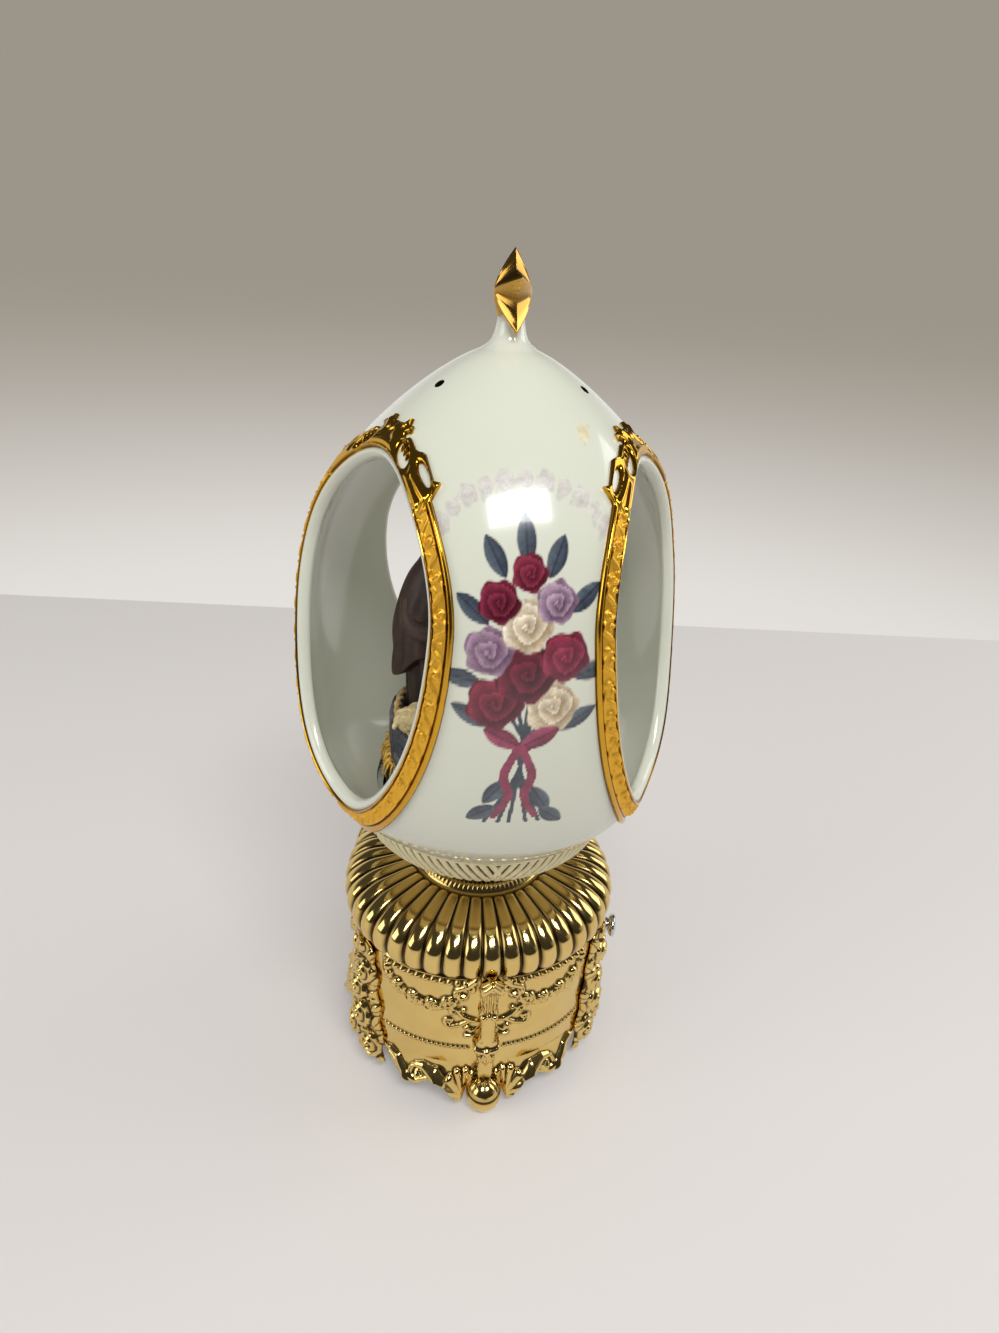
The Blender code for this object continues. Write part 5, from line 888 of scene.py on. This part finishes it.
work += [leaf(x, rows, a, 19.8, turn, 4.2, 0.9, 0.9) for turn, a in ((245, -0.6), (295, 0.6), (270, 0))]
work += [leaf(x, rows, a, 34.4, turn, 6.5, 1.0, 0.5) for turn, a in ((112, -0.5), (68, 0.5))]
gable = ridges(x, rows, [[(0, 47.4, 0.8), (side * 3.2, 44.4, 0.9)] for side in (-1, 1)])
relief = np.minimum(np.maximum(border + lines + np.maximum.reduce(work), 1.2 * gable), 1.25)
h = plate_h + relief * np.clip(1 - np.abs(x_share) ** 12, 0, 1)
flat_back = np.array([[0.6, 0.0, -0.6]]) * half
ring_x = np.concatenate([x, flat_back], 1)
ring_h = np.concatenate([h, 0 * flat_back], 1) + 2.5 * eased(rows, 40.6, 45.5)
# Painted shade, with the patina, in the hollows of the relief
ring_dark = np.concatenate([hollows(relief, 3, 0.22), 0 * flat_back], 1)
ball_turn = np.linspace(math.pi - math.asin(1.5 / 4.85), 0.02, 60)[:, None]
ball_side = np.linspace(0, math.tau, 97)[:-1][None, :]
sepal_share = 1 - eased(ball_turn, 0.9, 1.2)
petals = 0.22 * np.abs(np.cos(3 * ball_side)) ** 0.5 * sepal_share
ball_r = BALL + petals - 0.15 * np.exp(-((ball_turn - 1.25) / 0.07) ** 2)
ball_x = ball_r * np.sin(ball_turn) * np.cos(ball_side)
ball_y = ball_r * np.sin(ball_turn) * np.sin(ball_side)
ball_z = np.maximum(BALL_Z + ball_r * np.cos(ball_turn), 0.0)
# Painted shade between the leaves of the cap over each ball and in the groove round its lower edge
ball_dark = np.clip(1.2 - petals * 6, 0, 1) * sepal_share * 0.8
ball_dark = np.maximum(ball_dark, np.exp(-((ball_turn - 1.25) / 0.09) ** 2) + 0 * ball_side)
dark = np.concatenate([end_rows(ring_dark), end_rows(ball_dark)])
for number, corner in enumerate((0, 120, 240), 1):
    out, side = round_axis(corner)
    post = (POST_RADIUS + ring_h)[..., None] * out + ring_x[..., None] * side + rows[..., None] * STRAIGHT_UP
    ball = (BALL_OUT + ball_y)[..., None] * out + ball_x[..., None] * side + ball_z[..., None] * STRAIGHT_UP
    points, faces, _ = joined([post, ball])
    make_object("gilt_pilaster_%d" % number, points, faces, [gilt], "root", "pilaster_foot_%d" % number,
                {"hollow": dark})

BOUQUET_FOOT, BOUQUET_TOP, BOUQUET_RADIUS = 3.0, 43.5, 36.4
rows = np.linspace(BOUQUET_FOOT, BOUQUET_TOP, 200)[:, None]
share = (rows - BOUQUET_FOOT) / (BOUQUET_TOP - BOUQUET_FOOT)
half = 9.6 + (5.4 - 9.6) * share - 0.6 * (1 - np.cos(math.tau * 4 * share))
for into_end in ((0.05 - share) / 0.05, (share - 0.93) / 0.07):
    half = half * np.maximum(bow(np.clip(into_end, 0, 1)), math.sqrt(0.02))
x = x_share * half
fade = np.clip(1 - np.abs(x_share) ** 5, 0, 1)
relief = [0.9 * rose(x, rows, a, b, size) for a, b, size in (
    (-4.2, 9.5, 4.3), (4.2, 9.0, 4.3), (0, 17.5, 4.7), (-1.5, 26, 4.2), (1.5, 34, 3.9))]
relief += [leaf(x, rows, a, b, turn, 1.2 * size, 1.9, 0.75) for a, b, turn, size in (
    (-5, 15, 120, 6), (5, 15, 60, 6), (-4, 21, 150, 5), (4.4, 21, 35, 5), (3, 26, 20, 5), (-4, 31, 130, 6),
    (4, 31, 60, 4), (-2.4, 37, 120, 5), (3.4, 38, 60, 5), (0, 39, 90, 4.4), (0, 8, 270, 5), (-7, 6, 230, 4),
    (7, 6, 310, 4), (-6, 12.5, 175, 4), (6.6, 12.5, 5, 4), (-1, 30.4, 200, 5))]
relief += [ridge(x, rows, [(a, b, 0.9)]) for a, b in (
    (-6.3, 18), (6.2, 18), (-5, 24.4), (5.2, 27.5), (-4.6, 35), (4.8, 35.4), (0, 12.6), (0, 4.6))]
relief = np.clip(np.maximum.reduce(relief), 0, 2.9)
flat_back = np.array([[0.6, 0.0, -0.6]]) * half
ring_x = np.concatenate([x, flat_back], 1)
r = BOUQUET_RADIUS + np.concatenate([fade ** 0.5 + relief * fade, 0 * flat_back], 1)
# Painted shade, with the patina, in the hollows of the relief
dark = end_rows(np.concatenate([hollows(relief, 3, 0.3), 0 * flat_back], 1))
for number, middle in enumerate((60, 180, 300), 1):
    points, faces, _ = joined([round_points(r, middle + np.degrees(ring_x / BOUQUET_RADIUS), rows)])
    make_object("gilt_bouquet_%d" % number, points, faces, [gilt], "root", "rose_bouquet_%d" % number,
                {"hollow": dark})

# Stop knob. A small ball turned from brass, chromed and pressed on the end of the stop rod, which
# slides in a hole of the drum wall; pushing it in stops the tune.
chrome, nodes, shader = new_material("polished_chrome_plate", {"Metallic": 1.0})
place = add(nodes, "TexCoord", out="Object")
haze = add(nodes, "TexNoise", {"Vector": place, "Scale": 700.0})
rough = add(nodes, "MapRange", {0: haze, 3: 0.06, 4: 0.16})
tone = add(nodes, "Mix", {"Factor": haze, 6: colour("#D9DCE2"), 7: colour("#C4C8D0")}, 2, data_type="RGBA")
fill(shader, {"Roughness": rough, "Base Color": tone})
KNOB = spline(((0.2, 1.55), (0.4, 1.9), (0.9, 1.9), (1.1, 1.6), (1.4, 2.3), (1.9, 2.95), (2.4, 3.15),
               (2.9, 2.95), (3.2, 2.3), (3.36, 1.4), (3.4, 0.4)), 44)
KNOB_GAP = 1.8
spin = np.linspace(0, math.tau, 73)[:-1]
ring_r = KNOB[:, 1:] * (1 - 0.025 * np.abs(np.sin(9 * spin)) * (KNOB[:, 1:] > 2.7))
out, side = round_axis(KNOB_AZIMUTH)
knob_start = WALL * (1 - BULGE * math.cos(math.radians(3 * KNOB_AZIMUTH))) + KNOB_GAP
rings = (knob_start + KNOB[:, :1] + 0 * ring_r)[..., None] * out + (ring_r * np.cos(spin))[..., None] * side
rings = rings + (KNOB_Z + ring_r * np.sin(spin))[..., None] * STRAIGHT_UP
points, faces, _ = joined([rings])
make_object("chrome_stop_knob", points, faces, [chrome], "stop", "stop_knob")

# Figure group on the turntable. Cast resin pieces painted by hand: a hooded figure with a staff, two
# lambs, and a ground of rubble wall and straw. The paint is darker in the folds and lighter on sharp edges.
chance = np.random.default_rng(7)


def tube(path, radii, sides=14):
    """Rings of a round tube along a path, with a radius at each point."""
    path = spline(np.column_stack([path, radii]), 3 * len(path) + 4)
    path, radii = path[:, :3], path[:, 3:]
    ahead = np.gradient(path, axis=0)
    ahead /= np.linalg.norm(ahead, axis=1)[:, None]
    first = np.cross(ahead, (0.13, 0.21, 0.97))
    first /= np.linalg.norm(first, axis=1)[:, None]
    second = np.cross(ahead, first)
    t = np.linspace(0, math.tau, sides + 1)[:-1][None, :, None]
    return path[:, None] + radii[:, None] * (np.cos(t) * first[:, None] + np.sin(t) * second[:, None])


def place_at(rings, spot, turn):
    """Rings turned about their own upright and moved to a spot."""
    a = math.radians(turn)
    x, y, z = np.moveaxis(rings, -1, 0)
    return np.stack([x * math.cos(a) - y * math.sin(a), x * math.sin(a) + y * math.cos(a), z], -1) + spot


def lump(centre, size, turn=0.0, square=1.0, rough=0.0, lean=0.0, rings=16, sides=24):
    """Rings of a rounded lump, from an egg shape to a worn block, with an uneven skin."""
    v = np.linspace(0.04, math.pi - 0.04, rings)[:, None]
    t = np.linspace(0, math.tau, sides + 1)[:-1][None, :]

    def power(value):
        return np.sign(value) * np.abs(value) ** square

    phase = chance.uniform(0, math.tau, 6)
    wave = sum(np.sin((2 + i) * t + (3 + i % 3) * v + phase[i]) for i in range(6)) / 6
    swell = 1 + rough * wave
    x = power(np.sin(v)) * power(np.cos(t)) * size[0] * swell
    y = power(np.sin(v)) * power(np.sin(t)) * size[1] * swell
    z = power(np.cos(v)) * size[2] * swell
    b = math.radians(lean)
    x, z = x * math.cos(b) - z * math.sin(b), x * math.sin(b) + z * math.cos(b)
    return place_at(np.stack([x, y, z], -1), centre, turn)


def painted_resin(name, roughness, grain_mm):
    """Hand painted resin: the paint named by the point, blotched at random, darker in hollow folds and
    lighter on sharp edges.
    """
    made, nodes, shader = new_material(name, {"Roughness": roughness})
    paint = add(nodes, "Attribute", out="Color", attribute_name="paint")
    place = add(nodes, "TexCoord", out="Object")
    blotch = add(nodes, "TexNoise", {"Vector": place, "Scale": 1000 / grain_mm, "Detail": 5.0,
                                     "Roughness": 0.65})
    edge = add(nodes, "NewGeometry", out="Pointiness")
    wash = add(nodes, "MapRange", {0: blotch, 1: 0.3, 2: 0.7, 3: 0.55, 4: 1.25})
    # Darker in concave folds and lighter on sharp edges, read from the mesh's pointiness
    varied_tone = add(nodes, "MapRange", {0: edge, 1: 0.44, 2: 0.6, 3: 0.5, 4: 1.7})
    both = add(nodes, "Math", {0: wash, 1: varied_tone}, operation="MULTIPLY")
    shade = add(nodes, "VectorMath", {0: paint, "Scale": both}, operation="SCALE")
    bump = add(nodes, "Bump", {"Strength": 0.4, "Distance": 0.0003, "Height": blotch})
    fill(shader, {"Base Color": shade, "Normal": bump})
    return made


# Height of the robe and of its cape, with their half widths across and from front to back
ROBE = ((0.0, 10.2, 9.0), (0.5, 10.6, 9.4), (4, 10.4, 9.2), (8, 10.2, 9), (18, 9.8, 8.4), (28, 9.6, 8.0),
        (36, 9.6, 7.6), (41, 9.2, 7.0), (44, 8.4, 6.6), (47.5, 6.8, 5.6), (50, 4.8, 4.6), (52, 4.9, 5.0),
        (54.5, 5.4, 5.6), (57, 5.4, 5.8), (59.4, 4.8, 5.2), (61.4, 3.4, 3.8), (62.6, 1.6, 1.8),
        (62.9, 0.4, 0.4))
CAPE = ((20.0, 12.8, 10.0), (20.6, 13.3, 10.4), (26, 13.0, 10.2), (33, 12.3, 9.6), (39, 11.2, 8.7),
        (43, 9.9, 7.7), (46.5, 8.2, 6.6), (49.5, 6.0, 5.5), (51.4, 4.7, 5.0))
t = np.linspace(0, math.tau, 169)[:-1][None, :]
level, wide, deep = spline(ROBE, 120).T[:, :, None]
folds = np.sin(9 * t + 1.2 * np.sin(2 * t) + 0.05 * level) + 0.5 * np.sin(17 * t + 0.1 * level)
swell = 1 + (eased(-level, -46, -30) * 0.055 + 0.012) * folds
body = np.stack([wide * np.cos(t) * swell, deep * np.sin(t) * swell, level + 0 * t], -1)
level, wide, deep = spline(CAPE, 60).T[:, :, None]
hang = eased(-level, -50, -26)
swell = 1 + 0.05 * np.sin(7 * t + 0.16 * level) * hang + 0.02 * np.sin(15 * t - 0.2 * level) * hang
hem = level + (9.0 * np.clip(-np.sin(t), 0, 1) ** 2 + 0.9 * np.sin(5 * t)) * hang
cape = np.stack([wide * np.cos(t) * swell, deep * np.sin(t) * swell, hem], -1)
head_v = np.linspace(0.05, math.pi - 0.05, 60)[:, None]
head_t = np.linspace(0, math.tau, 81)[:-1][None, :]
forward = np.clip(-np.sin(head_t), 0, 1)
u, w = 3.4 * np.cos(head_t) * np.sin(head_v), 4.6 * np.cos(head_v)
face_h = 0.75 * ridge(u, w, [(0, 0.6, 0.3), (0, -0.3, 0.4), (0, -0.75, 0.55)])
for eye in (-1.35, 1.35):
    face_h += 0.32 * ridge(u, w, [(eye - 0.3, 0.5, 0.32), (eye + 0.3, 0.5, 0.32)])
    face_h -= 0.35 * ridge(u, w, [(eye, 0.55, 0.62)])
face_h += 0.3 * ridge(u, w, [(-0.7, -1.75, 0.25), (0, -1.68, 0.34), (0.7, -1.75, 0.25)])
face_h += 0.25 * ridge(u, w, [(-0.4, -3.0, 0.7), (0.4, -3.0, 0.7)])
size = 1 + face_h * forward / 4
head = np.stack([u * size, 3.9 * np.sin(head_t) * np.sin(head_v) * size - 2.4, w + 55.6 + 0 * size], -1)
rim_t = np.linspace(0, math.tau, 13)
hood_rim = np.stack([3.9 * np.cos(rim_t), -4.3 - 0.5 * np.sin(rim_t), 56.0 + 5.2 * np.sin(rim_t)], -1)
# One hand rests on the belt, and the other one holds the staff
arms = [tube([(-6.4, -1.0, 44), (-8.0, -3.2, 39), (-7.8, -6.0, 35.5), (-5.2, -8.4, 34.4), (-2.4, -9.6, 35.2)],
             [2.2, 2.8, 2.9, 2.8, 2.4], 24),
        tube([(6.4, -1.0, 44), (9.2, -3.4, 39), (10.6, -6.4, 35.6), (11.2, -8.8, 35.0), (11.7, -10.6, 35.8)],
             [2.2, 2.8, 2.9, 2.7, 2.2], 24)]
hands = [lump((-1.7, -9.9, 35.4), (1.5, 1.2, 1.5), rough=0.05),
         lump((11.9, -11.7, 36.3), (1.2, 1.1, 1.6), rough=0.05)]
FINGER_WIDTHS = [0.36, 0.36, 0.3]
fingers = []
for drop in 0.7 * np.arange(4):
    fingers.append(tube([(-1.6, -10.6, 36.2 - drop), (-0.5, -11.2, 36.1 - drop), (0.4, -11.0, 36.0 - drop)],
                        FINGER_WIDTHS, 8))
    fingers.append(tube([(12.8, -12.0, 37.3 - drop), (12.7, -13.6, 37.3 - drop), (11.3, -13.9, 37.2 - drop)],
                        FINGER_WIDTHS, 8))
belt_t = np.linspace(0, math.tau, 25)
belt = np.stack([10.3 * np.cos(belt_t), 8.7 * np.sin(belt_t), 29.0 + 0.5 * np.sin(2 * belt_t)], -1)
parts = [body, cape, head, tube(hood_rim, [0.75] * 13, 10), *arms, *hands, *fingers,
         tube(belt, [0.6] * 25, 8)]
tones = ["#33201A", "#3B241B", "#B08A6C", "#3B241B"] + ["#3F271D"] * 2 + ["#A8815F"] * 10 + ["#8A7448"]
# The whole figure leans to its right
FIGURE_SPOT, FIGURE_HEIGHT, LEAN = (-9.6, 3.5, 91.9), 63, 4.0
for part in parts:
    part[..., 0] -= LEAN * np.clip(part[..., 2] / FIGURE_HEIGHT, 0, 1)
    part += FIGURE_SPOT
points, faces, paint = joined(parts, tones)
resin = painted_resin("painted_resin_robe", 0.5, 3.0)
make_object("hooded_figure", points, faces, [resin], "figure", "shepherd_figure",
            {"paint": paint})

# Its staff: a thin turned rod, painted and rubbed to look like a cut branch with a few knots
low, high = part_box("shepherd_staff")
foot, tip = (low - turning_axis) * 1000, (high - turning_axis) * 1000
STAFF_RADIUS, END_GAP = 0.78, 0.2
rise = np.linspace(0, 1, 40)
branch_x = tip.x - STAFF_RADIUS + rise * (foot.x - tip.x + 2 * STAFF_RADIUS)
branch_z = low.z * 1000 + END_GAP + rise * ((high.z - low.z) * 1000 - 2 * END_GAP)
branch_path = np.stack([branch_x, 0 * rise + (foot.y + tip.y) / 2, branch_z], -1)
knots = sum(np.exp(-((rise - share) / 0.012) ** 2) for share in (0.17, 0.38, 0.66, 0.84, 0.99))
points, faces, paint = joined([tube(branch_path, STAFF_RADIUS * (0.84 + 0.16 * knots), 16)], ["#5A3A20"])
make_object("branch_staff", points, faces, [resin], "figure", "shepherd_staff",
            {"paint": paint})


def lamb(spot, turn):
    """Parts of a lamb that lies down with its head up."""
    parts = [lump((0, 0, 3.4), (5.6, 3.3, 3.2), 0, 0.95, 0.10, 0, 34, 48),
             lump((-3.4, 0.4, 3.0), (3.2, 3.3, 2.9), 0, 0.95, 0.10, 0, 26, 36),
             tube([(3.6, 0, 4.6), (5.2, 0.2, 6.4), (6.0, 0.4, 7.6)], [2.2, 1.8, 1.5], 18),
             lump((6.6, 0.4, 8.2), (2.0, 1.35, 1.35), 0, 0.95, 0.03, -18, 18, 22),
             lump((5.7, 0.4, 9.1), (1.3, 1.2, 0.9), 0, 0.95, 0.14)]
    parts += [lump((5.8, y, 8.2), (0.5, 1.2, 0.35)) for y in (1.9, -1.1)]
    for path, radii in (([(3.0, 2.2, 1.8), (5.2, 2.3, 1.0), (7.0, 1.7, 0.7)], [1.1, 0.8, 0.65]),
                        ([(-4.2, 2.4, 1.8), (-2.6, 3.3, 0.9), (-0.4, 3.2, 0.7)], [1.2, 0.85, 0.6])):
        parts += [tube(np.array(path) * (1, side, 1), radii, 12) for side in (-1, 1)]
    parts.append(tube([(-5.8, 0, 3.6), (-7.0, 0.2, 2.8), (-7.2, 0.4, 1.8)], [0.8, 0.7, 0.5], 10))
    return [place_at(part, spot, turn) for part in parts]


WOOL = ["#D2BE8C"] * 2 + ["#CDB987", "#A88D68", "#D2BE8C"] + ["#B79A74"] * 2 + ["#8E7456"] * 4 + ["#CDB987"]
wool = painted_resin("painted_resin_wool", 0.6, 1.4)
for number, turn in ((1, 30), (2, 35)):
    low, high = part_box("lamb_%d" % number)
    middle = (low + high) * 500 - turning_axis * 1000
    points, faces, paint = joined(lamb((middle.x, middle.y, low.z * 1000 + 0.05), turn), WOOL)
    make_object("resting_lamb_%d" % number, points, faces, [wool], "figure", "lamb_%d" % number,
                {"paint": paint})

# The ground: an uneven disc, three courses of rubble, pebbles, loose straw, straw that hangs over the
# wall, and a rope of two strands on it
GROUND_RADIUS, GROUND_TOP, GROUND_UNDER = 25.9, 89.6, 83.6
r = np.linspace(0.3, GROUND_RADIUS, 70)[:, None]
t = np.linspace(0, math.tau, 241)[:-1][None, :]
uneven = sum(np.sin(k * t + 0.23 * k * r + p) / k for k, p in ((3, 1.0), (5, 2.1), (8, 0.4), (13, 5.0))) / 2
bank = 1.2 * eased(r, 4, 16) * (1 - eased(r, 18, 24))
top = GROUND_TOP + 0.9 * uneven * eased(r, 2, 12) - 3.0 * eased(r, 22, 26) + bank
edge_r = GROUND_RADIUS - 0.8 * (1 + np.sin(11 * t) * 0.4)
disc_rings = [round_points(np.minimum(r, edge_r), np.degrees(t), top),
              round_points(edge_r, np.degrees(t), GROUND_UNDER)]
parts, tones = [np.concatenate(disc_rings)], ["#6A5A34"]
STONES = ("#4C4E56", "#5A5C64", "#44464E", "#66645F")
WALL_RADIUS, WALL_FOOT, COURSE = 23.7, 92.2, 3.8
STRAW = ("#C9A448", "#D9B860", "#B08C3A")
WALL_START, WALL_SPAN, STONES_EACH = -136, 80, 9


def on_ground(radius, a, z):
    """Place at a distance from the axis, an azimuth in radians and a height."""
    return radius * math.sin(a), -radius * math.cos(a), z


for course in range(3):
    for i in range(STONES_EACH):
        stone_turn = WALL_START + (i + 0.5 + 0.25 * (course % 2)) * WALL_SPAN / STONES_EACH
        radius = WALL_RADIUS + chance.uniform(-0.3, 0.3)
        spot = on_ground(radius, math.radians(stone_turn), WALL_FOOT + COURSE * course)
        size = (2.1 + chance.uniform(-0.25, 0.2), 1.6, 1.95)
        parts.append(lump(spot, size, stone_turn, 0.42, 0.06, chance.uniform(-4, 4), 16, 28))
        tones.append(STONES[chance.integers(4)])
for i in range(26):
    a, radius, size = (chance.uniform(*span) for span in ((0, math.tau), (15, 24), (0.7, 1.5)))
    parts.append(lump(on_ground(radius, a, 89.8), (size, size * 0.8, size * 0.7), chance.uniform(0, 180), 0.7,
                      0.1, 0, 10, 14))
    tones.append("#66666A")
for i in range(420):
    a, radius = math.radians(chance.uniform(-150, 60)), chance.uniform(13, 25.4)
    x, y, z = on_ground(radius, a, 89.4)
    lean, reach, rise = (chance.uniform(*span) for span in ((0, math.tau), (1.6, 3.4), (0.2, 2.2)))
    dx, dy = reach * math.cos(lean), reach * math.sin(lean)
    blade = [(x, y, z), (x + 0.5 * dx, y + 0.5 * dy, 90.4 + rise), (x + dx, y + dy, 90.1 + 0.6 * rise)]
    parts.append(tube(blade, [0.22, 0.2, 0.1], 5))
    tones.append(STRAW[chance.integers(3)])
for i in range(120):
    a = math.radians(chance.uniform(-138, -50))
    radius, fall = chance.uniform(23.5, 25.6), chance.uniform(1.0, 4.5)
    aside = a + chance.uniform(-0.09, 0.09)
    parts.append(tube([on_ground(radius, a, 90.0), on_ground(radius + 1.5, aside, 89.7),
                       on_ground(radius + 2.3, aside, 89.2 - fall)], [0.26, 0.24, 0.14], 5))
    tones.append(STRAW[chance.integers(3)])
ROPE_RADIUS, ROPE_Z, STRAND_OUT = 23.4, 102.1, 0.5
for phase in (0, math.pi):
    twist = 4.5 * np.arange(17) + phase
    strand = round_points(ROPE_RADIUS + STRAND_OUT * np.cos(twist), np.linspace(-126, -58, 17),
                          ROPE_Z + STRAND_OUT * np.sin(twist))
    parts.append(tube(strand, [0.55] * 17, 8))
    tones.append("#B89C6A")
points, faces, paint = joined(parts, tones)
# Nothing reaches past the room inside the shell
ROOM = 28.0
points[:, :2] *= ROOM / np.maximum(np.hypot(points[:, :1], points[:, 1:2]), ROOM)
stone = painted_resin("painted_resin_stone", 0.7, 2.2)
make_object("rubble_and_straw", points, faces, [stone], "figure", "figure_ground",
            {"paint": paint})

# Movement and fittings. Turned, milled and stamped steel and brass, cast zinc, and a beech turntable,
# screwed or pressed together. They keep the shapes of their solids; each gets its material's surface.


def grained(name, bright, deep, roughness, metallic, grain, stretch):
    """Surface with a fine grain: long for brushing and wood, even for a casting."""
    made, nodes, shader = new_material(name, {"Metallic": metallic})
    place = add(nodes, "TexCoord", out="Object")
    pulled = add(nodes, "VectorMath", {0: place, 1: stretch}, operation="MULTIPLY")
    fine = add(nodes, "TexNoise", {"Vector": pulled, "Scale": 1000 / grain, "Detail": 4.0})
    broad = add(nodes, "TexNoise", {"Vector": place, "Scale": 120.0, "Detail": 3.0})
    share = add(nodes, "Math", {0: fine, 1: broad}, operation="MULTIPLY")
    share = add(nodes, "MapRange", {0: share, 1: 0.12, 2: 0.4})
    tone = add(nodes, "Mix", {"Factor": share, 6: colour(bright), 7: colour(deep)}, 2, data_type="RGBA")
    rough = add(nodes, "MapRange", {0: fine, 3: roughness - 0.08, 4: roughness + 0.12})
    bump = add(nodes, "Bump", {"Strength": 0.2, "Distance": 0.00005, "Height": fine})
    fill(shader, {"Base Color": tone, "Roughness": rough, "Normal": bump})
    return made


surfaces = {
    "steel": grained("ground_steel", "#B9BBBE", "#8C8F94", 0.3, 1.0, 0.4, (1, 8, 1)),
    "movement_brass": grained("brushed_movement_brass", "#DDBB6C", "#B89040", 0.3, 1.0, 0.4, (1, 1, 8)),
    "cast_zinc": grained("tumbled_cast_zinc", "#B4B7BA", "#93979B", 0.42, 1.0, 0.9, (1, 1, 1)),
    "turntable_wood": grained("stained_beech", "#6A4526", "#3E2614", 0.45, 0.0, 1.2, (1, 9, 9)),
}
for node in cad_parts.values():
    for one in node.material_slots:
        slot_name = one.material.name.split(".")[0] if one.material else None
        if slot_name in surfaces:
            one.material = surfaces[slot_name]
